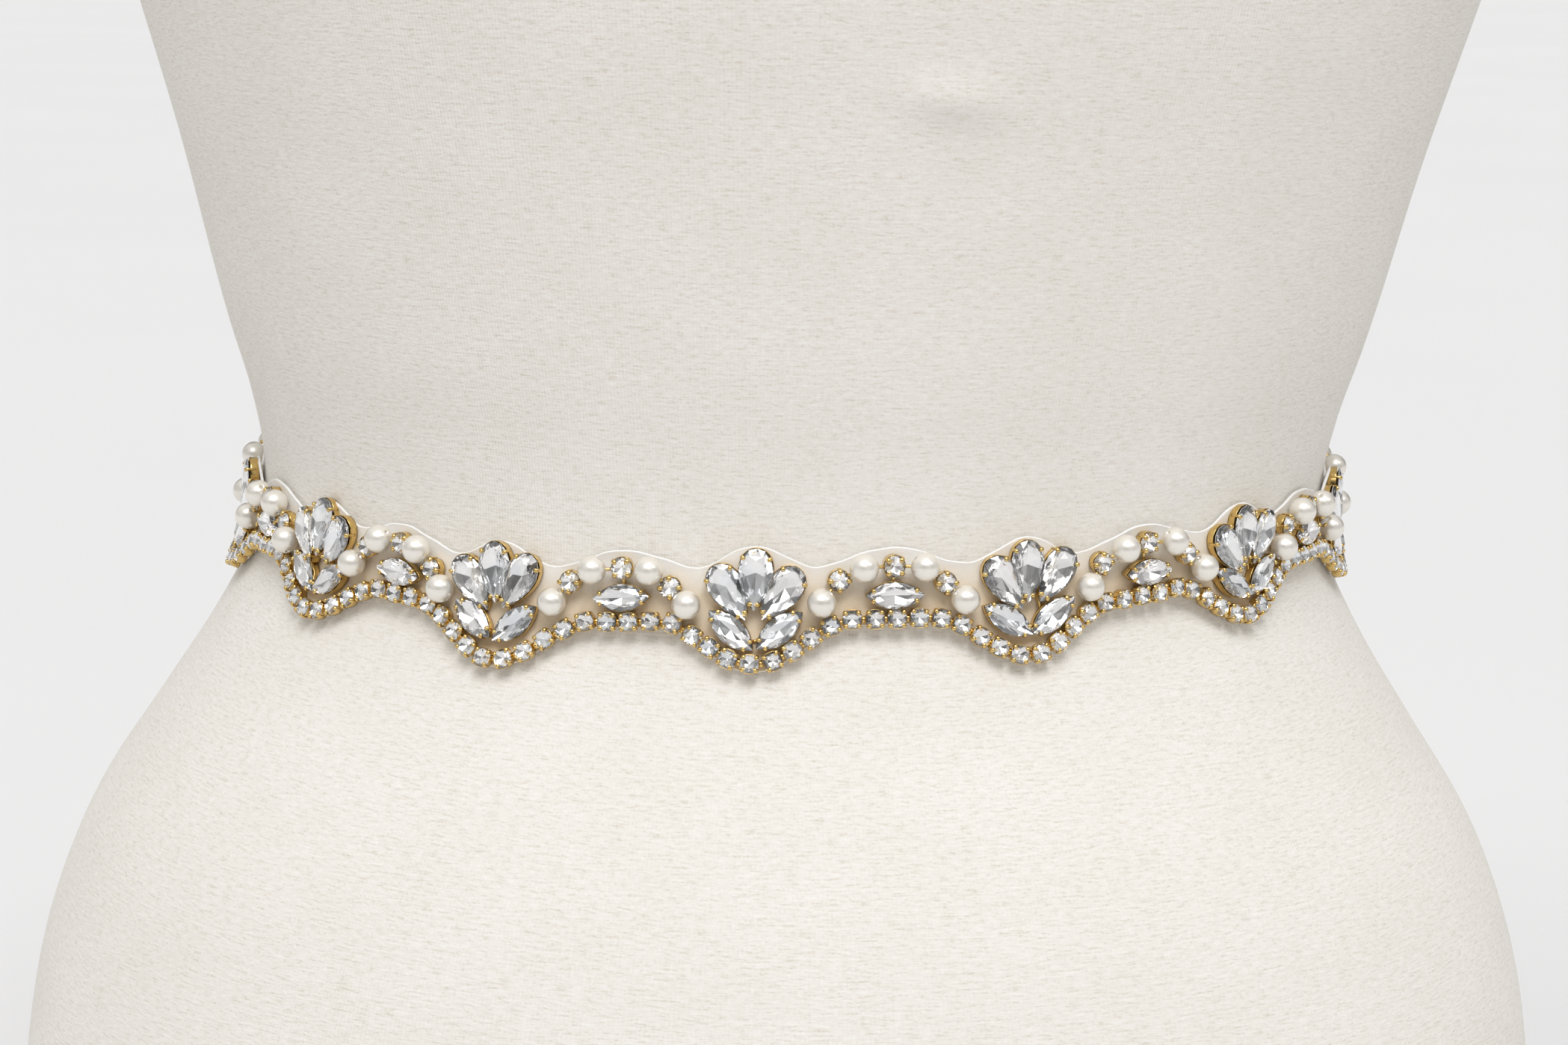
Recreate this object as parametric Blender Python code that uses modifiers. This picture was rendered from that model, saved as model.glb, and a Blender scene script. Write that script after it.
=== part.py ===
"""A rhinestone belt on ivory cloth, round the waist of a plain tabletop dress form.

The belt is drawn flat first. On that flat pattern X is the distance along the waist from the
front centre, Y is the height above the belt line and Z is the distance out from the form.
wrapped() then takes each point of the pattern to its place round the form.
The front faces -Y, the form stands on Z = 0, and all lengths are in metres.
"""

import math
from collections import namedtuple

import bmesh
import bpy
import numpy as np
from mathutils import Matrix, Vector

MM = 0.001
COLLECTION = "rhinestone_belt"

# Dress form, from its base up
FormSection = namedtuple("FormSection", "height half_width half_depth centre_y")
FORM_SECTIONS = (
    FormSection(0, 157, 112, 0),
    FormSection(12, 163, 116, 0),
    FormSection(70, 172, 122, 0),
    FormSection(130, 176, 125, 0),
    FormSection(173, 174, 124, 0),
    FormSection(200, 168.5, 121, 0),
    FormSection(229, 156.5, 116, 0),
    FormSection(250, 142.8, 109.5, 0),
    FormSection(270, 130, 102, 0),
    FormSection(288, 121.3, 96.8, 0),
    FormSection(305, 119.2, 95.4, 0),
    FormSection(320, 121.8, 96.8, 0),
    FormSection(335, 126.3, 99.6, 0),
    FormSection(375, 136.2, 106, -1),
    FormSection(430, 151, 114, -4),
    FormSection(475, 160, 117, -6),
    FormSection(520, 163, 110, -3),
    FormSection(560, 165, 96, 3),
    FormSection(590, 158, 82, 8),
    FormSection(612, 136, 71, 11),
    FormSection(630, 100, 63, 12),
    FormSection(645, 72, 58.5, 12),
    FormSection(662, 59, 56, 11),
    FormSection(700, 56, 55, 8),
)
FORM_SIDES = 36
FORM_FINE_FROM = 250 * MM
FORM_FINE_TO = 375 * MM

# Where the belt lies on the form
BELT_HEIGHT = 300 * MM
BELT_SLOPE_TO_BACK = 0.069
BELT_SLOPE_TO_SIDE = 0.028

# Fans, from the left end to the right: place along the waist, rise of the belt line there, turn,
# how far to the right of it the chain dips lowest, and which of the three layouts it has
Fan = namedtuple("Fan", "along rise turn dip layout")
FANS = (
    Fan(-153.2, 0.2, 0.0, 0.4, 1),
    Fan(-106.0, 1.5, -2.0, 1.0, 0),
    Fan(-59.1, -0.2, 0.0, 1.8, 0),
    Fan(-7.1, 2.0, 0.0, 0.4, 1),
    Fan(46.8, 1.7, 0.0, -0.4, 2),
    Fan(100.5, 1.4, 3.0, -0.8, 2),
    Fan(151.4, -2.0, -1.0, 0.4, 1),
)
REPEAT = 52.5 * MM
END_REACH = 44 * MM

# Layers, as distances out from the form
SEAM_GAP = 0.3 * MM
CLOTH = 1.0 * MM
BACKING_OUT = SEAM_GAP
TRIM_OUT = BACKING_OUT + CLOTH + SEAM_GAP
BASE_THICKNESS = 0.7 * MM
SETTING_LIFT = 0.35 * MM

# Cup chain
CHAIN_LEVEL = -5.6 * MM
CHAIN_DIP = 8.9 * MM
DIP_HALF_LENGTH = 19.0 * MM
CUP_PITCH = 4.3 * MM
CUP_RADIUS = 1.88 * MM
CUP_CROWN_RADIUS = 1.6 * MM
CUP_FOOT = 0.8 * MM
CUP_HEIGHT = 2.5 * MM
CUP_SIDES = 6
CHAIN_END_MARGIN = 3.2 * MM

# Backing
BACKING_HEM = 1.1 * MM
BACKING_TOP_LEVEL = 4.8 * MM
FAN_PEAK = 4.4 * MM
FAN_PEAK_HALF_LENGTH = 12.0 * MM
LINK_PEAK = 3.8 * MM
LINK_PEAK_HALF_LENGTH = 16.0 * MM
BACKING_COLUMN = 3.4 * MM
BACKING_ROWS = 3

# Stones: length and width of the setting, and the heights of its girdle and table above its base
Stone = namedtuple("Stone", "length width girdle table points")
PEAR = Stone(12.2 * MM, 6.7 * MM, 2.2 * MM, 3.1 * MM, 10)
NAVETTE = Stone(11.5 * MM, 5.2 * MM, 2.0 * MM, 2.8 * MM, 8)
ROUND = Stone(4.3 * MM, 4.3 * MM, 2.0 * MM, 2.7 * MM, 8)
TABLE_SHARE = 0.56
PEARL_RADIUS = 2.9 * MM
PEARL_SEGMENTS = 8
PEARL_RINGS = 4

# Layouts of fans, which were set by hand, and of a link, in millimetres from the piece's centre,
# with turns in degrees. A link is drawn out or in to fill the space between its two fans.
Place = namedtuple("Place", "kind along up turn")
FAN_LAYOUTS = (
    (
        Place("pear", -0.2, 3.3, 2),
        Place("pear", -5.2, 0.4, 35),
        Place("pear", 4.9, 1.6, -28),
        Place("navette", -3.6, -7.2, 56),
        Place("navette", 5.1, -6.9, -50),
    ),
    (
        Place("pear", 0.3, 2.9, -3),
        Place("pear", -4.8, 0.3, 28),
        Place("pear", 5.2, -0.2, -38),
        Place("navette", -4.2, -7.4, 47),
        Place("navette", 5.2, -7.6, -52),
    ),
    (
        Place("pear", 0.0, 2.8, -1),
        Place("pear", -4.7, 0.5, 31),
        Place("pear", 5.6, 1.1, -38),
        Place("navette", -4.4, -7.1, 55),
        Place("navette", 5.0, -7.0, -55),
    ),
)
FAN_PLATE_UP = -5.6
FAN_PLATE_HALF_WIDTH = 3.6
FAN_PLATE_HALF_HEIGHT = 4.6
LINK_LAYOUT = (
    Place("pearl", -13.5, -1.9, 0),
    Place("round", -10.4, 2.5, 0),
    Place("pearl", -5.75, 5.1, 0),
    Place("round", 0, 5.3, 0),
    Place("pearl", 5.7, 5.0, 0),
    Place("round", 9.8, 1.4, 0),
    Place("pearl", 13.4, -2.1, 0),
    Place("navette", 0.3, -0.8, 90),
)
LINK_DRAW = 1.25
WIRE_RADIUS = 0.5 * MM
WIRE_LIFT = 0.2 * MM

# Ribbons and their hook and eye at the centre back
RIBBON_WIDTH = 16 * MM
RIBBON_UP = -1.5 * MM
RIBBON_COLUMN = 8 * MM
RIBBON_ROWS = 3
BACK_OPENING = 3 * MM
HOOK_WIRE = 0.45 * MM
HOOK_HALF_WIDTH = 0.75 * MM
HOOK_BEND = 1.2 * MM
HOOK_BEND_ALONG = -0.3 * MM
HOOK_BEND_POINTS = 6
EYE_LENGTH = 6.0 * MM
EYE_HALF_WIDTH = 2.4 * MM
EYE_CORNER = 0.375 * MM

# The hook's shank, in millimetres along the ribbon from the back's centre and out from the ribbon
ShankPoint = namedtuple("ShankPoint", "along out")
HOOK_SHANK = (
    ShankPoint(-8.0, 0.0),
    ShankPoint(-4.4, 0.0),
    ShankPoint(-2.3, 0.9),
    ShankPoint(-1.2, 1.2),
)

# Fineness of the tables that lengths along the waist and the chain are read from
WAIST_TABLE_ROWS = 2001
CHAIN_TABLE_ROWS = 4000
PEAR_WIDEST = 0.7698


def cleared_collection(name):
    for obj in list(bpy.data.objects):
        bpy.data.objects.remove(obj, do_unlink=True)
    collection = bpy.data.collections.new(name)
    bpy.context.scene.collection.children.link(collection)
    return collection


def material(name, colour, roughness, metallic=0.0):
    made = bpy.data.materials.new(name)
    made.use_nodes = True
    shader = made.node_tree.nodes["Principled BSDF"]
    shader.inputs["Base Color"].default_value = (*colour, 1.0)
    shader.inputs["Roughness"].default_value = roughness
    shader.inputs["Metallic"].default_value = metallic
    made.diffuse_color = (*colour, 1.0)
    return made


def object_from(name, build, collection, finish):
    """A new object from a bmesh, which is freed."""
    mesh = bpy.data.meshes.new(name)
    build.to_mesh(mesh)
    build.free()
    obj = bpy.data.objects.new(name, mesh)
    collection.objects.link(obj)
    if finish:
        mesh.materials.append(finish)
    return obj


# Shape of the form


def smooth_through(at, places, values):
    """A smooth curve through (places, values), read at each of at."""
    slopes = np.gradient(values, places)
    at = np.clip(at, places[0], places[-1])
    row = np.clip(np.searchsorted(places, at) - 1, 0, len(places) - 2)
    span = places[row + 1] - places[row]
    t = (at - places[row]) / span
    return (
        values[row] * (2 * t**3 - 3 * t**2 + 1)
        + values[row + 1] * (3 * t**2 - 2 * t**3)
        + slopes[row] * span * (t**3 - 2 * t**2 + t)
        + slopes[row + 1] * span * (t**3 - t**2)
    )


FORM = np.array(FORM_SECTIONS) * MM


def form_points(angle, height):
    """Points on the form, at an angle round it from the front towards +X."""
    half_width = smooth_through(height, FORM[:, 0], FORM[:, 1])
    half_depth = smooth_through(height, FORM[:, 0], FORM[:, 2])
    centre_y = smooth_through(height, FORM[:, 0], FORM[:, 3])
    x = half_width * np.sin(angle)
    y = centre_y - half_depth * np.cos(angle)
    return np.stack((x, y, height), axis=-1)


def waist_tables():
    """Angles round the form, and the distance along the waist from the front centre at each."""
    angles = np.linspace(-1.25 * math.pi, 1.25 * math.pi, WAIST_TABLE_ROWS)
    points = form_points(angles, np.full_like(angles, BELT_HEIGHT))
    steps = np.linalg.norm(np.diff(points, axis=0), axis=1)
    lengths = np.concatenate(([0.0], np.cumsum(steps)))
    return angles, lengths - np.interp(0.0, angles, lengths)


WAIST_ANGLES, WAIST_LENGTHS = waist_tables()
HALF_WAIST = float(np.interp(math.pi, WAIST_ANGLES, WAIST_LENGTHS))
FAN_ALONG = np.array([fan.along for fan in FANS]) * MM
FAN_RISE = np.array([fan.rise for fan in FANS]) * MM
BELT_START = FAN_ALONG[0] - END_REACH
BELT_END = FAN_ALONG[-1] + END_REACH
STATIONS = np.concatenate(([FAN_ALONG[0] - REPEAT], FAN_ALONG, [FAN_ALONG[-1] + REPEAT]))
DIPS = STATIONS + np.array([0, *(fan.dip for fan in FANS), 0]) * MM


def belt_rise(along):
    """How far the belt line is above its plane: it was sewn and put on by hand."""
    places = np.concatenate(([-HALF_WAIST], FAN_ALONG, [HALF_WAIST]))
    rises = np.concatenate(([0.0], FAN_RISE, [0.0]))
    return smooth_through(along, places, rises)


def wrapped(flat):
    """Takes points of the flat pattern, an array of rows of X, Y and Z, to their places."""
    along, up, out = flat.T
    angle = np.interp(along, WAIST_LENGTHS, WAIST_ANGLES)
    line = form_points(angle, np.full_like(angle, BELT_HEIGHT))
    slope = BELT_SLOPE_TO_BACK * line[:, 1] + BELT_SLOPE_TO_SIDE * line[:, 0]
    height = BELT_HEIGHT + slope + belt_rise(along) + up
    step = 1e-5
    point = form_points(angle, height)
    round_form = form_points(angle + step, height) - point
    up_form = form_points(angle, height + step) - point
    normal = np.cross(round_form, up_form)
    normal /= np.linalg.norm(normal, axis=1)[:, None]
    return point + normal * out[:, None]


def wrap(obj, along=0.0, turn=0.0):
    """Sets a flat piece at its distance along the waist, turned, and bends it round the form."""
    mesh = obj.data
    mesh.transform(Matrix.Translation((along, 0, 0)) @ Matrix.Rotation(turn, 4, "Z"))
    flat = np.empty(len(mesh.vertices) * 3)
    mesh.vertices.foreach_get("co", flat)
    mesh.vertices.foreach_set("co", wrapped(flat.reshape(-1, 3)).ravel())
    mesh.update()


# Outlines on the flat pattern


def bell(distance, half_length):
    """1 at no distance, falling smoothly to 0 at half_length and past it."""
    share = np.minimum(np.abs(distance) / half_length, 1.0)
    return 0.5 * (1 + np.cos(math.pi * share))


def chain_up(along):
    dips = sum(bell(along - middle, DIP_HALF_LENGTH) for middle in DIPS)
    return CHAIN_LEVEL - CHAIN_DIP * dips


def backing_top(along):
    fan_peaks = sum(bell(along - station, FAN_PEAK_HALF_LENGTH) for station in STATIONS)
    middles = (STATIONS[1:] + STATIONS[:-1]) / 2
    link_peaks = sum(bell(along - middle, LINK_PEAK_HALF_LENGTH) for middle in middles)
    return BACKING_TOP_LEVEL + FAN_PEAK * fan_peaks + LINK_PEAK * link_peaks


def backing_bottom(along):
    return chain_up(along) - BACKING_HEM


def pear_outline(stone):
    """A teardrop with its round end at +Y."""
    turns = [2 * math.pi * i / stone.points for i in range(stone.points)]
    for t in turns:
        across = math.sin(t) * math.sin(t / 2) / PEAR_WIDEST
        yield across * stone.width / 2, -math.cos(t) * stone.length / 2


def navette_outline(stone):
    """Two arcs that meet in points at +Y and -Y."""
    turns = [2 * math.pi * i / stone.points for i in range(stone.points)]
    for t in turns:
        across = math.sin(t) * abs(math.sin(t))
        yield across * stone.width / 2, -math.cos(t) * stone.length / 2


def round_outline(stone):
    turns = [2 * math.pi * (i + 0.5) / stone.points for i in range(stone.points)]
    for t in turns:
        yield math.sin(t) * stone.width / 2, -math.cos(t) * stone.length / 2


STONES = {
    "pear": (PEAR, pear_outline),
    "navette": (NAVETTE, navette_outline),
    "round": (ROUND, round_outline),
}


# Solids on the flat pattern


def stone_solid(name, stone, outline, helpers):
    """A set stone: straight walls up to the girdle, then a crown that slopes in to a flat table."""
    build = bmesh.new()
    corners = [build.verts.new((x, y, 0)) for x, y in outline(stone)]
    base = build.faces.new(corners)
    walls = bmesh.ops.extrude_face_region(build, geom=[base])
    girdle = [v for v in walls["geom"] if isinstance(v, bmesh.types.BMVert)]
    bmesh.ops.translate(build, verts=girdle, vec=(0, 0, stone.girdle))
    top = next(f for f in walls["geom"] if isinstance(f, bmesh.types.BMFace))
    table = bmesh.ops.extrude_discrete_faces(build, faces=[top])["faces"][0]
    bmesh.ops.scale(build, verts=table.verts, vec=(TABLE_SHARE, TABLE_SHARE, 1))
    bmesh.ops.translate(build, verts=table.verts, vec=(0, 0, stone.table - stone.girdle))
    bmesh.ops.recalc_face_normals(build, faces=build.faces)
    return object_from(name, build, helpers, None)


def pearl_solid(name, helpers):
    build = bmesh.new()
    bmesh.ops.create_uvsphere(
        build, u_segments=PEARL_SEGMENTS, v_segments=PEARL_RINGS, radius=PEARL_RADIUS
    )
    return object_from(name, build, helpers, None)


def drawn_out(layout, share):
    """A layout with the places along it spread by a share."""
    return [place._replace(along=place.along * share) for place in layout]


def placed_solids(layout, helpers):
    """The stones and pearls of a layout, each at its place and just sunk in the base."""
    made = []
    for number, place in enumerate(layout):
        name = f"{place.kind}_{number}"
        if place.kind == "pearl":
            solid = pearl_solid(name, helpers)
            out = TRIM_OUT + PEARL_RADIUS
        else:
            stone, outline = STONES[place.kind]
            solid = stone_solid(name, stone, outline, helpers)
            out = TRIM_OUT + SETTING_LIFT
        move = Matrix.Translation((place.along * MM, place.up * MM, out))
        solid.data.transform(move @ Matrix.Rotation(math.radians(place.turn), 4, "Z"))
        made.append(solid)
    return made


def evaluated_mesh(obj):
    """The object's mesh with its modifiers applied."""
    bpy.context.view_layer.update()
    graph = bpy.context.evaluated_depsgraph_get()
    return bpy.data.meshes.new_from_object(obj.evaluated_get(graph))


def wire_mesh(name, points, radius, resolution, helpers):
    """A wire through points as a mesh, with the caps at its ends joined to its sides."""
    curve = bpy.data.curves.new(name, "CURVE")
    curve.dimensions = "3D"
    curve.bevel_depth = radius
    curve.bevel_resolution = resolution
    curve.use_fill_caps = True
    spline = curve.splines.new("POLY")
    spline.points.add(len(points) - 1)
    for point, place in zip(spline.points, points):
        point.co = (*place, 1.0)
    guide = bpy.data.objects.new(name, curve)
    helpers.objects.link(guide)
    mesh = evaluated_mesh(guide)
    bpy.data.objects.remove(guide, do_unlink=True)
    build = bmesh.new()
    build.from_mesh(mesh)
    bmesh.ops.remove_doubles(build, verts=build.verts, dist=1e-6)
    build.to_mesh(mesh)
    build.free()
    return mesh


def wire_solid(name, points, radius, resolution, helpers):
    obj = bpy.data.objects.new(name, wire_mesh(name, points, radius, resolution, helpers))
    helpers.objects.link(obj)
    return obj


def fused(base, others):
    """One mesh from the base and all the others. The helpers are removed."""
    for other in others:
        union = base.modifiers.new(other.name, "BOOLEAN")
        union.operation = "UNION"
        union.solver = "EXACT"
        union.object = other
    mesh = evaluated_mesh(base)
    for helper in [base, *others]:
        bpy.data.objects.remove(helper, do_unlink=True)
    return mesh


def fan_mesh(layout, helpers):
    """Three pears over two navettes, held by a small plate behind the middle."""
    build = bmesh.new()
    bmesh.ops.create_cone(
        build, cap_ends=True, segments=8, radius1=1, radius2=1, depth=1
    )
    half_width = FAN_PLATE_HALF_WIDTH * MM
    half_height = FAN_PLATE_HALF_HEIGHT * MM
    bmesh.ops.scale(build, verts=build.verts, vec=(half_width, half_height, BASE_THICKNESS))
    middle = TRIM_OUT + BASE_THICKNESS / 2
    bmesh.ops.translate(build, verts=build.verts, vec=(0, FAN_PLATE_UP * MM, middle))
    plate = object_from("plate", build, helpers, None)
    return fused(plate, placed_solids(layout, helpers))


def link_mesh(layout, helpers):
    """Pearls and round stones on a bowed wire, over a navette on a short one."""
    out = TRIM_OUT + WIRE_LIFT + WIRE_RADIUS
    *bowed, navette = layout
    top = max(bowed, key=lambda place: place.up)
    bow = [Vector((place.along * MM, place.up * MM, out)) for place in bowed]
    drop = [Vector((0, place.up * MM, out + WIRE_LIFT)) for place in (top, navette)]
    wires = [
        wire_solid("bow", bow, WIRE_RADIUS, 0, helpers),
        wire_solid("drop", drop, WIRE_RADIUS, 0, helpers),
    ]
    return fused(wires[0], wires[1:] + placed_solids(layout, helpers))


def strip_surface(name, start, end, column, rows, bottom, top, collection, finish):
    """An open strip of cloth on the form between its lower and upper edge, with Solidify."""
    columns = max(1, round((end - start) / column))
    build = bmesh.new()
    bmesh.ops.create_grid(build, x_segments=columns, y_segments=rows, size=1)
    for vert in build.verts:
        along = start + (end - start) * (vert.co.x + 1) / 2
        share = (vert.co.y + 1) / 2
        vert.co = (along, bottom(along) + (top(along) - bottom(along)) * share, BACKING_OUT)
    strip = object_from(name, build, collection, finish)
    wrap(strip)
    solidify = strip.modifiers.new("cloth", "SOLIDIFY")
    solidify.thickness = CLOTH
    solidify.offset = 1
    strip.data.shade_smooth()
    return strip


# Pieces


def build_form(collection, finish):
    """Rings of points round the form, skinned, with a flat base and a flat top to the neck."""
    heights = [FORM[0, 0]]
    for below, above in zip(FORM[:, 0], FORM[1:, 0]):
        if FORM_FINE_FROM <= below < FORM_FINE_TO:
            heights.append((below + above) / 2)
        heights.append(above)
    build = bmesh.new()
    angles = np.linspace(0, 2 * math.pi, FORM_SIDES, endpoint=False)
    edges = []
    for height in heights:
        points = form_points(angles, np.full_like(angles, height))
        ring = [build.verts.new(point) for point in points]
        edges += [build.edges.new((a, b)) for a, b in zip(ring, ring[1:] + ring[:1])]
        if height == heights[0]:
            build.faces.new(ring)
    build.faces.new(ring)
    for first in range(0, (len(heights) - 1) * FORM_SIDES, FORM_SIDES):
        bmesh.ops.bridge_loops(build, edges=edges[first : first + 2 * FORM_SIDES])
    bmesh.ops.recalc_face_normals(build, faces=build.faces)
    form = object_from("dress_form", build, collection, finish)
    form.data.shade_smooth()
    form.data.set_sharp_from_angle(angle=math.radians(50))
    return form


def build_backing(collection, finish):
    return strip_surface(
        "backing", BELT_START, BELT_END, BACKING_COLUMN, BACKING_ROWS,
        backing_bottom, backing_top, collection, finish,
    )


def build_ribbons(collection, finish):
    """Plain ribbons from each end of the backing to the opening at the centre back."""
    def bottom(along):
        return RIBBON_UP - RIBBON_WIDTH / 2

    def top(along):
        return RIBBON_UP + RIBBON_WIDTH / 2

    spans = {
        "ribbon_left": (-HALF_WAIST + BACK_OPENING / 2, BELT_START - SEAM_GAP),
        "ribbon_right": (BELT_END + SEAM_GAP, HALF_WAIST - BACK_OPENING / 2),
    }
    for name, (start, end) in spans.items():
        strip_surface(
            name, start, end, RIBBON_COLUMN, RIBBON_ROWS, bottom, top, collection, finish
        )


def chain_line():
    """Points a cup's pitch apart along the wavy line of the chain, and the turn at each."""
    ends = BELT_START + CHAIN_END_MARGIN, BELT_END - CHAIN_END_MARGIN
    along = np.linspace(*ends, CHAIN_TABLE_ROWS)
    up = chain_up(along)
    length = np.concatenate(([0.0], np.cumsum(np.hypot(np.diff(along), np.diff(up)))))
    cups = int(length[-1] / CUP_PITCH)
    at = np.linspace(0, length[-1], cups + 1)
    turns = np.interp(at, length, np.arctan(np.gradient(up, along)))
    return np.interp(at, length, along), np.interp(at, length, up), turns


def add_cup(build, along, up, turn):
    """One cup: a foot, and walls that draw in above it. It returns the foot's two end faces."""
    middle = Vector((along, up, TRIM_OUT + CUP_FOOT / 2))
    foot = bmesh.ops.create_cone(
        build, cap_ends=True, segments=CUP_SIDES, radius1=CUP_RADIUS, radius2=CUP_RADIUS,
        depth=CUP_FOOT, matrix=Matrix.Translation(middle) @ Matrix.Rotation(turn, 4, "Z"),
    )
    faces = {face for vert in foot["verts"] for face in vert.link_faces}
    top = max(faces, key=lambda face: face.calc_center_median().z)
    forward = Vector((math.cos(turn), math.sin(turn), 0))
    ends = sorted(faces, key=lambda face: face.calc_center_median().dot(forward))
    crown = bmesh.ops.extrude_discrete_faces(build, faces=[top])["faces"][0]
    share = CUP_CROWN_RADIUS / CUP_RADIUS
    centred = Matrix.Translation(-middle)
    bmesh.ops.scale(build, verts=crown.verts, vec=(share, share, 1), space=centred)
    bmesh.ops.translate(build, verts=crown.verts, vec=(0, 0, CUP_HEIGHT - CUP_FOOT))
    return ends[0], ends[-1]


def build_chain(collection, finish):
    """Cups along the lower edge, each joined to the next at the foot."""
    build = bmesh.new()
    cups = [add_cup(build, *place) for place in zip(*chain_line())]
    for (_, after), (before, _) in zip(cups, cups[1:]):
        edges = [*after.edges, *before.edges]
        bmesh.ops.delete(build, geom=[after, before], context="FACES_ONLY")
        bmesh.ops.bridge_loops(build, edges=edges)
    bmesh.ops.recalc_face_normals(build, faces=build.faces)
    wrap(object_from("cup_chain", build, collection, finish))


def piece_from(mesh, name, collection, finish):
    mesh.materials.clear()
    mesh.materials.append(finish)
    obj = bpy.data.objects.new(name, mesh)
    collection.objects.link(obj)
    return obj


def build_fans(collection, helpers, finish):
    flat = [fan_mesh(layout, helpers) for layout in FAN_LAYOUTS]
    for number, fan in enumerate(FANS, 1):
        piece = piece_from(flat[fan.layout].copy(), f"fan_{number}", collection, finish)
        wrap(piece, fan.along * MM, math.radians(fan.turn))


def build_links(collection, helpers, finish):
    for number, (before, after) in enumerate(zip(STATIONS, STATIONS[1:]), 1):
        share = 1 + LINK_DRAW * ((after - before) / REPEAT - 1)
        flat = link_mesh(drawn_out(LINK_LAYOUT, share), helpers)
        wrap(piece_from(flat, f"link_{number}", collection, finish), (before + after) / 2)


def build_closure(collection, helpers, finish):
    """A wire hook on the right ribbon that holds a wire eye on the left one."""
    rest = TRIM_OUT + HOOK_WIRE
    profile = [(point.along * MM, rest + point.out * MM) for point in HOOK_SHANK]
    for step in range(HOOK_BEND_POINTS + 1):
        turn = math.pi * step / HOOK_BEND_POINTS
        along = HOOK_BEND_ALONG + HOOK_BEND * math.sin(turn)
        profile.append((along, rest + HOOK_BEND * math.cos(turn)))
    near = [Vector((along, -HOOK_HALF_WIDTH, out)) for along, out in reversed(profile)]
    far = [Vector((along, HOOK_HALF_WIDTH, out)) for along, out in profile]
    legs = [(EYE_LENGTH, 1), (HOOK_BEND_ALONG + EYE_CORNER, 1)]
    legs.append((HOOK_BEND_ALONG, 1 - EYE_CORNER / EYE_HALF_WIDTH))
    eye = [Vector((along, -share * EYE_HALF_WIDTH, rest)) for along, share in legs]
    eye += [Vector((along, share * EYE_HALF_WIDTH, rest)) for along, share in reversed(legs)]
    for name, points in {"closure_hook": near + far, "closure_eye": eye}.items():
        lifted = [point + Vector((0, RIBBON_UP, 0)) for point in points]
        mesh = wire_mesh(name, lifted, HOOK_WIRE, 1, helpers)
        wrap(piece_from(mesh, name, collection, finish), HALF_WAIST)


def main():
    collection = cleared_collection(COLLECTION)
    helpers = bpy.data.collections.new("helpers")
    bpy.context.scene.collection.children.link(helpers)
    jersey = material("jersey", (0.86, 0.84, 0.77), 0.9)
    ivory_cloth = material("ivory_cloth", (0.92, 0.88, 0.78), 0.6)
    satin = material("ivory_satin", (0.93, 0.9, 0.82), 0.35)
    crystal = material("crystal_in_gold", (0.86, 0.84, 0.8), 0.1, 0.6)
    pearl_gold = material("pearl_and_crystal", (0.93, 0.9, 0.84), 0.2)
    gold = material("gold", (0.83, 0.6, 0.22), 0.25, 1.0)
    build_form(collection, jersey)
    build_backing(collection, ivory_cloth)
    build_ribbons(collection, satin)
    build_chain(collection, gold)
    build_fans(collection, helpers, crystal)
    build_links(collection, helpers, pearl_gold)
    build_closure(collection, helpers, gold)


main()
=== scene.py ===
"""The rhinestone belt on its dress form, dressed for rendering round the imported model.

As in the CAD, the belt is drawn on a flat pattern: X is the distance along the waist from the
front centre, Y the height above the belt line and Z the distance out from the form. wrapped()
takes points of the pattern to their places, and seat() sets a stiff piece there without bending
it. The front faces -Y, the form stands on Z = 0, and all lengths are in metres.
"""

import itertools
import math
from collections import namedtuple

import bmesh
import bpy
import numpy as np
from mathutils import Matrix, Vector


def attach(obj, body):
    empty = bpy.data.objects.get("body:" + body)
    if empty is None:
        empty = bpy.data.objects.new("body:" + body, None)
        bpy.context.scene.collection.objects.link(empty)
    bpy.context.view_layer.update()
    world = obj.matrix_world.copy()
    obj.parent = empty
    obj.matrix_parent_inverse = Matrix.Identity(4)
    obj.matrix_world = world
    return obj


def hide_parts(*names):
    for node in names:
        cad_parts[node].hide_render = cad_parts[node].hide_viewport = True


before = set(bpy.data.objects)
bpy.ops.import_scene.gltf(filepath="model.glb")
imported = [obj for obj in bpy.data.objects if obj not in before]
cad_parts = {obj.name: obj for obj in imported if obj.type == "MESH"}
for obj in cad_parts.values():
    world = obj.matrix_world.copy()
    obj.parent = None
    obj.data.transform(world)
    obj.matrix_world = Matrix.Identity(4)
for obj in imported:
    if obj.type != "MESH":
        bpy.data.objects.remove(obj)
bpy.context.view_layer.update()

MM = 0.001
RANDOM = np.random.default_rng(12)

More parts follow.
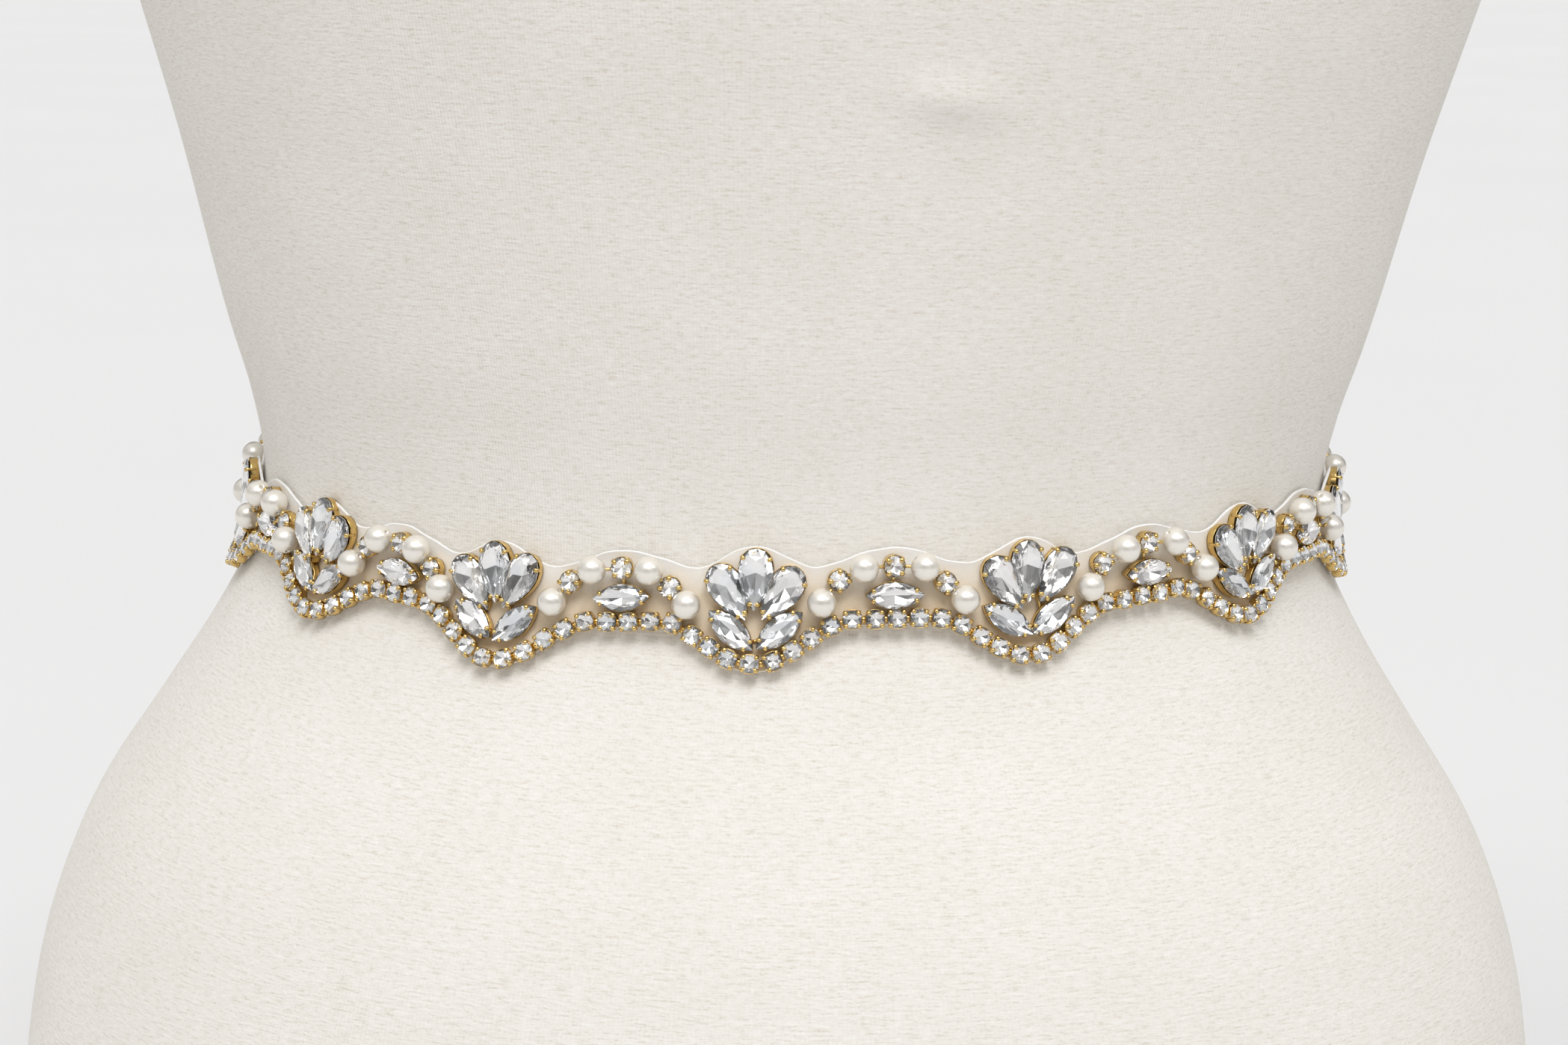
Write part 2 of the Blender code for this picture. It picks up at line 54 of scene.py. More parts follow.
# The form and the belt's pattern, as in the CAD. Sections, fans and layouts are in millimetres and
# degrees.
FormSection = namedtuple("FormSection", "height half_width half_depth centre_y")
FORM_SECTIONS = (
    FormSection(0, 157, 112, 0),
    FormSection(12, 163, 116, 0),
    FormSection(70, 172, 122, 0),
    FormSection(130, 176, 125, 0),
    FormSection(173, 174, 124, 0),
    FormSection(200, 168.5, 121, 0),
    FormSection(229, 156.5, 116, 0),
    FormSection(250, 142.8, 109.5, 0),
    FormSection(270, 130, 102, 0),
    FormSection(288, 121.3, 96.8, 0),
    FormSection(305, 119.2, 95.4, 0),
    FormSection(320, 121.8, 96.8, 0),
    FormSection(335, 126.3, 99.6, 0),
    FormSection(375, 136.2, 106, -1),
    FormSection(430, 151, 114, -4),
    FormSection(475, 160, 117, -6),
    FormSection(520, 163, 110, -3),
    FormSection(560, 165, 96, 3),
    FormSection(590, 158, 82, 8),
    FormSection(612, 136, 71, 11),
    FormSection(630, 100, 63, 12),
    FormSection(645, 72, 58.5, 12),
    FormSection(662, 59, 56, 11),
    FormSection(700, 56, 55, 8),
)
BELT_HEIGHT = 300 * MM
BELT_SLOPE_TO_BACK = 0.069
BELT_SLOPE_TO_SIDE = 0.028

# The middle of each fan and its rise over the belt line, its turn, how far the chain's dip lies
# from its middle, and the number of its layout
Fan = namedtuple("Fan", "along rise turn dip layout")
FANS = (
    Fan(-153.2, 0.2, 0.0, 0.4, 1),
    Fan(-106.0, 1.5, -2.0, 1.0, 0),
    Fan(-59.1, -0.2, 0.0, 1.8, 0),
    Fan(-7.1, 2.0, 0.0, 0.4, 1),
    Fan(46.8, 1.7, 0.0, -0.4, 2),
    Fan(100.5, 1.4, 3.0, -0.8, 2),
    Fan(151.4, -2.0, -1.0, 0.4, 1),
)
REPEAT = 52.5 * MM
END_REACH = 44 * MM
TRIM_OUT = 1.6 * MM
CHAIN_LEVEL = -5.6 * MM
CHAIN_DIP = 8.9 * MM
DIP_HALF_LENGTH = 19.0 * MM
CUP_PITCH = 4.3 * MM
CHAIN_END_MARGIN = 3.2 * MM
BACKING_HEM = 1.1 * MM
BACKING_TOP_LEVEL = 4.8 * MM
FAN_PEAK = 4.4 * MM
FAN_PEAK_HALF_LENGTH = 12.0 * MM
LINK_PEAK = 3.8 * MM
LINK_PEAK_HALF_LENGTH = 16.0 * MM

# Where each stone and pearl of a motif goes, from the motif's own middle
Place = namedtuple("Place", "kind along up turn")
FAN_LAYOUTS = (
    (
        Place("pear", -0.2, 3.3, 2),
        Place("pear", -5.2, 0.4, 35),
        Place("pear", 4.9, 1.6, -28),
        Place("navette", -3.6, -7.2, 56),
        Place("navette", 5.1, -6.9, -50),
    ),
    (
        Place("pear", 0.3, 2.9, -3),
        Place("pear", -4.8, 0.3, 28),
        Place("pear", 5.2, -0.2, -38),
        Place("navette", -4.2, -7.4, 47),
        Place("navette", 5.2, -7.6, -52),
    ),
    (
        Place("pear", 0.0, 2.8, -1),
        Place("pear", -4.7, 0.5, 31),
        Place("pear", 5.6, 1.1, -38),
        Place("navette", -4.4, -7.1, 55),
        Place("navette", 5.0, -7.0, -55),
    ),
)
FAN_PLATE_UP = -5.6
LINK_LAYOUT = (
    Place("pearl", -13.5, -1.9, 0),
    Place("round", -10.4, 2.5, 0),
    Place("pearl", -5.75, 5.1, 0),
    Place("round", 0, 5.3, 45),
    Place("pearl", 5.7, 5.0, 0),
    Place("round", 9.8, 1.4, 0),
    Place("pearl", 13.4, -2.1, 0),
    Place("navette", 0.3, -0.8, 90),
)

# How much a link is drawn out or in with the distance between its two fans
LINK_DRAW = 1.25
PEARL_RADIUS = 2.9 * MM
PEARL_OUT = TRIM_OUT + PEARL_RADIUS - 0.25 * MM
RIBBON_WIDTH = 16 * MM
RIBBON_UP = -1.5 * MM
BACK_OPENING = 3 * MM

# Stones, in millimetres: the setting's outline, how much smaller the stone is, the rim of its
# metal wall, the girdle and the table above its foot, the depth below the girdle, the number of
# main facets, how far its point lies from the middle of its length, the places of the claws along
# the outline, and the claws' size
Cut = namedtuple("Cut", "length width inset rim girdle table depth mains middle claws claw")
CUTS = {
    "pear": Cut(12.5, 7.1, 0.03, 1.55, 2.1, 3.15, 1.35, 8, 1.3, (0.62, 2.35, 3.93, 5.66), 0.85),
    "navette": Cut(11.7, 5.5, 0.03, 1.35, 1.9, 2.85, 1.15, 8, 0.0, (0.7, 2.44, 3.84, 5.58), 0.8),
    "round": Cut(4.4, 4.4, 0.05, 1.5, 1.9, 2.8, 1.0, 8, 0.0, (0.0, 1.571, 3.142, 4.712), 0.95),
    "cup": Cut(3.85, 3.85, 0.14, 1.45, 1.45, 2.25, 0.8, 8, 0.0, (0.785, 2.356, 3.927, 5.498), 0.8),
}

# The facets of every cut: shares of the girdle's outline at the table, the star facets and the
# deep ring, shares of the crown's height and of the depth below, and the girdle's own height
TABLE_SHARE = 0.54
STAR_SHARE = 0.76
STAR_RISE = 0.62
GIRDLE_HEIGHT = 0.12
DEEP_SHARE = 0.5
DEEP_DROP = 0.62

# A cup's wall in millimetres, up its outer side, over its rim and down to its floor: distances
# out from the setting's outline, with heights over the foot and, for CUP_RIM, over the rim
CUP_FOOT = ((-0.28, -0.35), (-0.1, -0.35), (0.0, 0.35))
CUP_RIM = ((0.06, -0.35), (0.08, -0.06), (0.02, 0.02), (-0.06, -0.08))
CUP_FLOOR = (-0.08, -0.1)

PEARL_HOLE = 0.35 * MM
PEARL_HOLE_END = 0.72 * PEARL_RADIUS
PEARL_HOLE_END_RADIUS = 0.9 * PEARL_HOLE
PEARL_RINGS = 22
PEARL_SIDES = 36
WIRE_SIDES = 8
SETTING_SIDES = 28
CHAIN_CUP_SIDES = 16


def smooth_through(at, places, values):
    """A smooth curve through (places, values), read at each of at."""
    slopes = np.gradient(values, places)
    at = np.clip(at, places[0], places[-1])
    row = np.clip(np.searchsorted(places, at) - 1, 0, len(places) - 2)
    span = places[row + 1] - places[row]
    t = (at - places[row]) / span
    return (
        values[row] * (2 * t**3 - 3 * t**2 + 1)
        + values[row + 1] * (3 * t**2 - 2 * t**3)
        + slopes[row] * span * (t**3 - 2 * t**2 + t)
        + slopes[row + 1] * span * (t**3 - t**2)
    )


FORM = np.array(FORM_SECTIONS) * MM


def form_points(angle, height):
    """Points on the form, at an angle round it from the front towards +X."""
    half_width = smooth_through(height, FORM[:, 0], FORM[:, 1])
    half_depth = smooth_through(height, FORM[:, 0], FORM[:, 2])
    centre_y = smooth_through(height, FORM[:, 0], FORM[:, 3])
    x = half_width * np.sin(angle)
    y = centre_y - half_depth * np.cos(angle)
    return np.stack((x, y, height), axis=-1)


def waist_tables():
    """Angles round the form, and the distance along the waist from the front centre at each."""
    angles = np.linspace(-1.25 * math.pi, 1.25 * math.pi, 2001)
    points = form_points(angles, np.full_like(angles, BELT_HEIGHT))
    steps = np.linalg.norm(np.diff(points, axis=0), axis=1)
    lengths = np.concatenate(([0.0], np.cumsum(steps)))
    return angles, lengths - np.interp(0.0, angles, lengths)


WAIST_ANGLES, WAIST_LENGTHS = waist_tables()
HALF_WAIST = float(np.interp(math.pi, WAIST_ANGLES, WAIST_LENGTHS))
FAN_ALONG = np.array([fan.along for fan in FANS]) * MM
FAN_RISE = np.array([fan.rise for fan in FANS]) * MM
BELT_START = FAN_ALONG[0] - END_REACH
BELT_END = FAN_ALONG[-1] + END_REACH
STATIONS = np.concatenate(([FAN_ALONG[0] - REPEAT], FAN_ALONG, [FAN_ALONG[-1] + REPEAT]))
DIPS = STATIONS + np.array([0, *(fan.dip for fan in FANS), 0]) * MM


def belt_rise(along):
    places = np.concatenate(([-HALF_WAIST], FAN_ALONG, [HALF_WAIST]))
    rises = np.concatenate(([0.0], FAN_RISE, [0.0]))
    return smooth_through(along, places, rises)


def wrapped(flat):
    """Takes points of the flat pattern, an array of rows of X, Y and Z, to their places."""
    along, up, out = np.asarray(flat, float).T
    angle = np.interp(along, WAIST_LENGTHS, WAIST_ANGLES)
    line = form_points(angle, np.full_like(angle, BELT_HEIGHT))
    slope = BELT_SLOPE_TO_BACK * line[:, 1] + BELT_SLOPE_TO_SIDE * line[:, 0]
    height = BELT_HEIGHT + slope + belt_rise(along) + up
    step = 1e-5
    point = form_points(angle, height)
    round_form = form_points(angle + step, height) - point
    up_form = form_points(angle, height + step) - point
    normal = np.cross(round_form, up_form)
    normal /= np.linalg.norm(normal, axis=1)[:, None]
    return point + normal * out[:, None]


def turned(axis, angle):
    return np.array(Matrix.Rotation(angle, 3, axis))


def seat(along, up, out, turn=0.0, lean=0.0, nod=0.0):
    """The turn and place of a stiff piece whose own origin is at this point of the pattern."""
    step = 0.5 * MM
    corners = [(along, up, out), (along + step, up, out), (along, up + step, out)]
    origin, ahead, above = wrapped(corners)
    x = ahead - origin
    z = np.cross(x, above - origin)
    x /= np.linalg.norm(x)
    z /= np.linalg.norm(z)
    axes = np.stack((x, np.cross(z, x), z), axis=1)
    return axes @ turned("Y", lean) @ turned("X", nod) @ turned("Z", turn), origin


def bell(distance, half_length):
    """1 at no distance, falling smoothly to 0 at half_length and past it."""
    share = np.minimum(np.abs(distance) / half_length, 1.0)
    return 0.5 * (1 + np.cos(math.pi * share))


def chain_up(along):
    dips = sum(bell(along - middle, DIP_HALF_LENGTH) for middle in DIPS)
    return CHAIN_LEVEL - CHAIN_DIP * dips


def backing_top(along):
    fan_peaks = sum(bell(along - station, FAN_PEAK_HALF_LENGTH) for station in STATIONS)
    middles = (STATIONS[1:] + STATIONS[:-1]) / 2
    link_peaks = sum(bell(along - middle, LINK_PEAK_HALF_LENGTH) for middle in middles)
    return BACKING_TOP_LEVEL + FAN_PEAK * fan_peaks + LINK_PEAK * link_peaks


def backing_bottom(along):
    return chain_up(along) - BACKING_HEM


# How pointed the ends of a stone are, how wide that makes a pear, and how square a cup is
PEAR_POINTED = 0.75
PEAR_WIDEST = 0.8121
NAVETTE_POINTED = 0.8
CUP_SQUARED = 2.8


def outline(kind, t, length, width):
    """Points of a stone's outline at t, from its end at -Y round past +X."""
    if kind == "pear":
        side = np.sin(t) * np.abs(np.sin(t / 2)) ** PEAR_POINTED / PEAR_WIDEST
    elif kind == "navette":
        side = np.sin(t) * np.abs(np.sin(t)) ** NAVETTE_POINTED
    elif kind == "cup":
        powers = np.abs(np.sin(t)) ** CUP_SQUARED + np.abs(np.cos(t)) ** CUP_SQUARED
        far = powers ** (-1 / CUP_SQUARED)
        return far * np.sin(t) * width / 2, -far * np.cos(t) * length / 2
    else:
        side = np.sin(t)
    return side * width / 2, -np.cos(t) * length / 2


# Shapes


class Shape:
    """Points and faces gathered bit by bit into one piece, each face with one of its finishes."""

    def __init__(self, *finishes):
        self.finishes = finishes
        self.points, self.faces, self.slots, self.smooth = [], [], [], []
        self.count = 0

    def add(self, made, finish=0, smooth=True, at=None):
        points, faces = made
        points = np.asarray(points, float)
        if at is not None:
            turn, origin = at
            points = points @ turn.T + origin
        self.points.append(points)
        self.faces += [tuple(corner + self.count for corner in face) for face in faces]
        self.slots += np.broadcast_to(finish, len(faces)).tolist()
        self.smooth += [smooth] * len(faces)
        self.count += len(points)

    def piece(self, name, slot, *nodes):
        mesh = bpy.data.meshes.new(name)
        mesh.from_pydata(np.concatenate(self.points).tolist(), [], self.faces)
        for finish in self.finishes:
            mesh.materials.append(finish)
        mesh.polygons.foreach_set("material_index", self.slots)
        mesh.polygons.foreach_set("use_smooth", self.smooth)
        mesh.update()
        obj = bpy.data.objects.new(name, mesh)
        bpy.context.scene.collection.objects.link(obj)
        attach(obj, "root")
        if nodes:
            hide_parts(*nodes)
        return obj


def lattice(rows, columns, closed=True):
    """Quads between rings of points, or between rows of them where they aren't closed."""
    faces = []
    for row in range(rows - 1):
        for column in range(columns if closed else columns - 1):
            after = (column + 1) % columns
            first, second = row * columns, (row + 1) * columns
            faces.append((first + column, first + after, second + after, second + column))
    return faces


def capped(rings):
    """A closed solid through rings of points, with a flat face on its first and last ring."""
    rows, columns = len(rings), len(rings[0])
    faces = lattice(rows, columns)
    faces.append(tuple(reversed(range(columns))))
    faces.append(tuple(range((rows - 1) * columns, rows * columns)))
    return np.concatenate(rings), faces


# A direction that no wire or edge sets out along
ANY_WAY = (0.31, 0.52, 0.79)


def tube(path, radius, sides=WIRE_SIDES):
    """A wire or thread along a path, with closed ends."""
    path = np.asarray(path, float)
    ways = np.gradient(path, axis=0)
    ways /= np.linalg.norm(ways, axis=1)[:, None]
    turns = np.linspace(0, 2 * math.pi, sides, endpoint=False)
    across = np.cross(ways[0], ANY_WAY)
    rings = []
    for point, way in zip(path, ways):
        across = across - way * (across @ way)
        across /= np.linalg.norm(across)
        other = np.cross(way, across)
        circle = np.outer(np.cos(turns), across) + np.outer(np.sin(turns), other)
        rings.append(point + radius * circle)
    return capped(rings)


def resampled(points, step):
    """Points of a path, a step apart along a smooth curve through the given ones."""
    points = np.asarray(points, float)
    length = np.concatenate(([0.0], np.cumsum(np.linalg.norm(np.diff(points, axis=0), axis=1))))
    at = np.linspace(0, length[-1], max(3, round(length[-1] / step) + 1))
    return np.stack([smooth_through(at, length, column) for column in points.T], axis=1)


def cut_stone(kind, cut):
    """The faces of a cut stone over its girdle, and those under it. Its foot is at Z = 0."""
    turns = 2 * math.pi * np.arange(cut.mains) / cut.mains
    between = turns + math.pi / cut.mains

    def ring(at, share, height):
        x, y = outline(kind, at, cut.length - cut.inset, cut.width - cut.inset)
        y = cut.middle + (y - cut.middle) * share
        return np.stack((x * share, y, np.full_like(x, height)), axis=1) * MM

    crown = cut.table - cut.girdle
    foot = cut.girdle - GIRDLE_HEIGHT
    rings = [
        ring(turns, TABLE_SHARE, cut.table),
        ring(between, STAR_SHARE, cut.girdle + STAR_RISE * crown),
        ring(turns, 1.0, cut.girdle),
        ring(between, 1.0, cut.girdle),
        ring(turns, 1.0, foot),
        ring(between, 1.0, foot),
        ring(turns, DEEP_SHARE, cut.girdle - DEEP_DROP * cut.depth),
    ]
    culet = np.array([(0.0, cut.middle * MM, (cut.girdle - cut.depth) * MM)])
    n = cut.mains
    table, star, main, half, low_main, low_half, deep, point = (n * k for k in range(8))
    over, under = [tuple(range(n))], []
    for i in range(n):
        j = (i + 1) % n
        h = (i - 1) % n
        over.append((table + i, star + i, table + j))
        over.append((star + h, main + i, star + i, table + i))
        over.append((main + i, half + i, star + i))
        over.append((half + i, main + j, star + i))
        under.append((low_main + i, low_half + i, half + i, main + i))
        under.append((low_half + i, low_main + j, main + j, half + i))
        under.append((low_half + i, low_main + i, deep + i))
        under.append((low_main + i, low_half + h, deep + i))
        under.append((low_half + i, deep + i, deep + j))
        under.append((deep + j, deep + i, point))
    return np.concatenate([*rings, culet]), over, under


def cup_wall(kind, cut, sides):
    """A thin metal cup round a stone, closed below."""
    turns = np.linspace(0, 2 * math.pi, sides, endpoint=False)

    def ring(off, height):
        x, y = outline(kind, turns, cut.length + 2 * off, cut.width + 2 * off)
        return np.stack((x, y, np.full_like(x, height)), axis=1) * MM

    rim = [(off, cut.rim + height) for off, height in CUP_RIM]
    return capped([ring(off, height) for off, height in (*CUP_FOOT, *rim, CUP_FLOOR)])


def claw(kind, cut, t):
    """One claw, from beside the cup up over the edge of the stone to a rounded end."""
    size, girdle = cut.claw, cut.girdle
    (x,), (y,) = outline(kind, np.array([t]), cut.length, cut.width)
    nudge = 1e-3
    (x2,), (y2,) = outline(kind, np.array([t + nudge]), cut.length, cut.width)
    along = np.array([x2 - x, y2 - y, 0.0])
    along /= np.linalg.norm(along)
    inward = np.array([-along[1], along[0], 0.0])
    start = np.array([x, y, 0.0])
    # The distance inwards, the height, and half the claw's width and thickness, in millimetres
    steps = (
        (-0.08, 0.3, 0.30, 0.10),
        (-0.14, 0.55 * girdle, 0.34, 0.14),
        (-0.16, girdle - 0.15, 0.38, 0.18),
        (-0.10, girdle + 0.20, 0.46, 0.28),
        (0.12, girdle + 0.46, 0.52, 0.38),
        (0.44, girdle + 0.58, 0.54, 0.42),
        (0.76, girdle + 0.56, 0.44, 0.36),
        (0.94, girdle + 0.50, 0.18, 0.16),
    )
    turns = np.linspace(0, 2 * math.pi, WIRE_SIDES, endpoint=False)
    middles = np.array([
        start + inward * size * depth + (0, 0, height) for depth, height, *_ in steps
    ])
    over = middles[:, 2] > girdle
    middles[over, 2] = girdle + (middles[over, 2] - girdle) * size
    ways = np.gradient(middles, axis=0)
    rings = []
    for middle, way, (*_, half_width, half_thickness) in zip(middles, ways, steps):
        rise = np.cross(way / np.linalg.norm(way), along)
        side = np.outer(np.cos(turns), along) * half_width * size
        rings.append((middle + side + np.outer(np.sin(turns), rise) * half_thickness * size) * MM)
    return capped([ring[::-1] for ring in rings])


def drilled_pearl():
    """A pearl with a fine drilled hole along its own X."""
    start = math.asin(PEARL_HOLE / PEARL_RADIUS)
    arc = np.linspace(start, math.pi - start, PEARL_RINGS)
    profile = [(PEARL_HOLE_END, PEARL_HOLE_END_RADIUS)]
    profile += [(PEARL_RADIUS * math.cos(a), PEARL_RADIUS * math.sin(a)) for a in arc]
    profile.append((-PEARL_HOLE_END, PEARL_HOLE_END_RADIUS))
    turns = np.linspace(0, 2 * math.pi, PEARL_SIDES, endpoint=False)
    rings = [
        np.stack((np.full_like(turns, x), radius * np.cos(turns), radius * np.sin(turns)), axis=1)
        for x, radius in profile
    ]
    return capped([ring[::-1] for ring in rings])


# Materials


class Nodes:
    """A tree that nodes are added to, each linked as it is made."""

    def __init__(self, tree):
        self.tree = tree

    def plug(self, socket, value):
        """Links a socket to another node's, or sets its value."""
        if isinstance(value, bpy.types.NodeSocket):
            self.tree.links.new(value, socket)
        else:
            socket.default_value = value

    def node(self, kind, inputs=(), **settings):
        made = self.tree.nodes.new("ShaderNode" + kind)
        for name, value in settings.items():
            setattr(made, name, value)
        for name, value in dict(inputs).items():
            self.plug(made.inputs[name], value)
        return made.outputs[0]

    def maths(self, operation, first, second):
        return self.node("Math", {0: first, 1: second}, operation=operation)

    def between(self, fac, low, high, from_low=0.0, from_high=1.0, **settings):
        """A value from low to high, as fac goes from from_low to from_high."""
        ends = {"From Min": from_low, "From Max": from_high, "To Min": low, "To Max": high}
        return self.node("MapRange", {"Value": fac, **ends}, **settings)


class Finish(Nodes):
    """A material on its way."""

    def __init__(self, name, **values):
        self.material = bpy.data.materials.new(name)
        self.material.use_nodes = True
        super().__init__(self.material.node_tree)
        self.shader = self.tree.nodes["Principled BSDF"]
        self.set(**values)

    def set(self, **values):
        for name, value in values.items():
            self.plug(self.shader.inputs[name.replace("_", " ")], value)

    def place(self):
        return self.node("TexCoord").node.outputs["Object"]

    def stretched(self, vector, scale):
        return self.node("Mapping", {"Vector": vector, "Scale": scale})

    def noise(self, vector, scale, detail=2.0, roughness=0.5):
        values = {"Vector": vector, "Scale": scale, "Detail": detail, "Roughness": roughness}
        return self.node("TexNoise", values)

    def ramp(self, fac, *stops):
        made = self.node("ValToRGB", {"Fac": fac})
        elements = made.node.color_ramp.elements
        while len(elements) < len(stops):
            elements.new(0.5)
        for element, (place, colour) in zip(elements, stops):
            element.position = place
            element.color = (*colour, 1.0)
        return made

    def product(self, first, second):
        """Two colours multiplied."""
        colours = {"Factor": 1.0, 6: first, 7: second}
        return self.node("Mix", colours, data_type="RGBA", blend_type="MULTIPLY").node.outputs[2]

    def bump(self, height, distance, strength=1.0):
        values = {"Height": height, "Distance": distance, "Strength": strength}
        self.set(Normal=self.node("Bump", values))


def jersey():
    """Fine cream knit: close upright wales, and short uneven slubs that run across them."""
    f = Finish("jersey_knit", Roughness=0.92, Sheen_Weight=0.12, Sheen_Roughness=0.5)
    f.set(Specular_IOR_Level=0.15)
    cloth = f.node("UVMap", uv_map="cloth")
    stitches = f.noise(f.stretched(cloth, (1500, 2600, 1)), 1.0, 2.0, 0.6)
    slub = f.noise(f.stretched(cloth, (430, 2300, 1)), 1.0, 2.0, 0.5)
    long_slub = f.noise(f.stretched(cloth, (120, 1500, 1)), 1.0, 2.0, 0.5)
    wave = f.node("TexWave", {
        "Vector": f.stretched(cloth, (2800, 240, 1)), "Scale": 0.16, "Distortion": 1.6,
        "Detail": 1.0, "Detail Scale": 1.0,
    }, bands_direction="X")
    wales = wave.node.outputs["Fac"]
    broad = f.noise(f.stretched(cloth, (30, 45, 1)), 1.0, 2.0, 0.5)
    streaks = f.maths("ADD", f.maths("MULTIPLY", slub, 0.45), f.maths("MULTIPLY", long_slub, 0.2))
    streaks = f.maths("ADD", streaks, f.maths("MULTIPLY", stitches, 0.35))
    tone = f.ramp(
        streaks, (0.36, (0.690, 0.645, 0.570)), (0.46, (0.800, 0.768, 0.712)),
        (0.54, (0.842, 0.815, 0.768)), (0.66, (0.885, 0.865, 0.830)),
    )
    shade = f.ramp(broad, (0.3, (0.970, 0.965, 0.955)), (0.7, (1.0, 1.0, 1.0)))
    f.set(Base_Color=f.product(tone, shade))
    height = f.maths("ADD", f.maths("MULTIPLY", wales, 0.3), f.maths("MULTIPLY", streaks, 1.2))
    f.bump(height, 0.00016, 0.8)
    return f.material


def backing_cloth():
    """Milky ivory cloth, close woven and smooth, with painted shade and painted gold bounce light
    that make it darker and warmer low down.
    """
    f = Finish("ivory_backing", Roughness=0.4, Subsurface_Weight=0.3, Sheen_Weight=0.15)
    f.set(Subsurface_Radius=(0.0012, 0.0010, 0.0008), Subsurface_Scale=1.0, Specular_IOR_Level=0.4)
    cloth = f.node("UVMap", uv_map="cloth")
    weft = f.noise(f.stretched(cloth, (900, 3800, 1)), 1.0, 1.0)
    warp = f.noise(f.stretched(cloth, (3800, 900, 1)), 1.0, 1.0)
    weave = f.maths("MAXIMUM", weft, warp)
    pale = f.ramp(weave, (0.4, (0.925, 0.905, 0.870)), (0.65, (0.960, 0.945, 0.920)))
    patch = f.noise(f.stretched(cloth, (130, 130, 1)), 1.0, 2.0)
    # Painted shade and painted gold bounce light: the cloth is fully tan at and below the belt line
    # and fades to plain by 7 mm above it, with a noisy edge. It stands for the shade of the trims
    # and the light from the gold
    up = f.node("SeparateXYZ", {"Vector": cloth}).node.outputs["Y"]
    level = f.maths("ADD", up, f.maths("MULTIPLY", patch, 0.003))
    painted_shade_and_gold_bounce = f.between(level, 1.0, 0.0, 0.0005, 0.0070)
    tint = f.ramp(painted_shade_and_gold_bounce, (0.0, (1.0, 1.0, 1.0)), (1.0, (0.88, 0.77, 0.62)))
    f.set(Base_Color=f.product(pale, tint))
    f.bump(weave, 0.00006, 0.4)
    return f.material


def ribbon_satin():
    """Ivory satin ribbon: fine floats that run along it, and faint ribs across."""
    f = Finish("ivory_satin_ribbon", Specular_IOR_Level=0.5, Sheen_Weight=0.1)
    f.set(Anisotropic=0.5)
    cloth = f.node("UVMap", uv_map="cloth")
    floats = f.noise(f.stretched(cloth, (260, 6500, 1)), 1.0, 2.0)
    cross = f.noise(f.stretched(cloth, (1400, 300, 1)), 1.0, 1.0)
    f.set(Base_Color=f.ramp(floats, (0.3, (0.80, 0.745, 0.65)), (0.7, (0.90, 0.86, 0.775))))
    f.set(Roughness=f.between(cross, 0.28, 0.42))
    f.bump(f.maths("ADD", floats, f.maths("MULTIPLY", cross, 0.5)), 0.00006, 0.5)
    return f.material


def gold_metal(name, tone):
    """Polished gold plate with a little haze and fine casting marks."""
    f = Finish(name, Metallic=1.0)
    place = f.place()
    haze = f.noise(place, 900, 3.0, 0.6)
    marks = f.noise(place, 4200, 2.0)
    low = tuple(0.86 * c for c in tone)
    f.set(Base_Color=f.ramp(haze, (0.3, low), (0.7, tone)))
    f.set(Roughness=f.between(haze, 0.10, 0.26, 0.3, 0.7))
    f.bump(marks, 0.00003, 0.4)
    return f.material


def crystal_glass():
    """Clear cut glass, with the faintest smears of polish."""
    f = Finish("crystal_glass", IOR=1.3, Transmission_Weight=1.0, Coat_Weight=1.0, Coat_IOR=1.9)
    f.set(Coat_Roughness=0.02)
    place = f.place()
    smear = f.noise(place, 350, 2.0)
    f.set(Base_Color=f.ramp(smear, (0.35, (0.975, 0.98, 0.985)), (0.65, (1.0, 1.0, 1.0))))
    f.set(Roughness=f.between(smear, 0.0, 0.02, 0.45, 0.7))
    return f.material


def silver_foil():
    """The mirror coat behind a stone, with slight blue and rose casts from place to place."""
    f = Finish("silver_foil", Metallic=0.9)
    place = f.place()
    cast = f.noise(place, 160, 1.0)
    grain = f.noise(place, 5200, 2.0)
    f.set(Base_Color=f.ramp(
        cast, (0.32, (0.91, 0.93, 0.96)), (0.5, (0.985, 0.985, 0.98)), (0.68, (0.98, 0.96, 0.95)),
    ))
    f.set(Roughness=f.between(grain, 0.02, 0.07))
    return f.material


def pearl_nacre():
    """White nacre: a half-mirror body with a painted warm reflection at the rim, under a clear and
    glossy skin.
    """
    f = Finish("pearl_nacre", Metallic=0.5, Coat_Weight=1.0, Coat_Roughness=0.13, Coat_IOR=1.7)
    place = f.place()
    cloud = f.noise(place, 420, 3.0, 0.6)
    pores = f.noise(place, 6000, 2.0)
    # Painted reflection: the colour turns warmer towards the rim, where the surface turns away from
    # the view. It stands in for warm light reflected from the gold settings
    painted_rim_mask = f.node("LayerWeight", {"Blend": 0.35}).node.outputs["Facing"]
    body = f.ramp(cloud, (0.3, (0.860, 0.825, 0.750)), (0.7, (0.880, 0.848, 0.780)))
    rim = f.ramp(painted_rim_mask, (0.3, (1.0, 1.0, 1.0)), (0.85, (0.97, 0.92, 0.84)))
    f.set(Base_Color=f.product(body, rim))
    f.set(Roughness=f.between(cloud, 0.30, 0.38, 0.3, 0.7))
    f.bump(pores, 0.00001, 0.3)
    return f.material


def thread():
    """Ivory sewing thread, with its ply showing as a soft unevenness."""
    f = Finish("ivory_thread", Roughness=0.6, Sheen_Weight=0.3)
    place = f.place()
    ply = f.noise(place, 3000, 2.0)
    f.set(Base_Color=f.ramp(ply, (0.3, (0.72, 0.67, 0.58)), (0.7, (0.88, 0.84, 0.76))))
    f.bump(ply, 0.00005, 0.6)
    return f.material


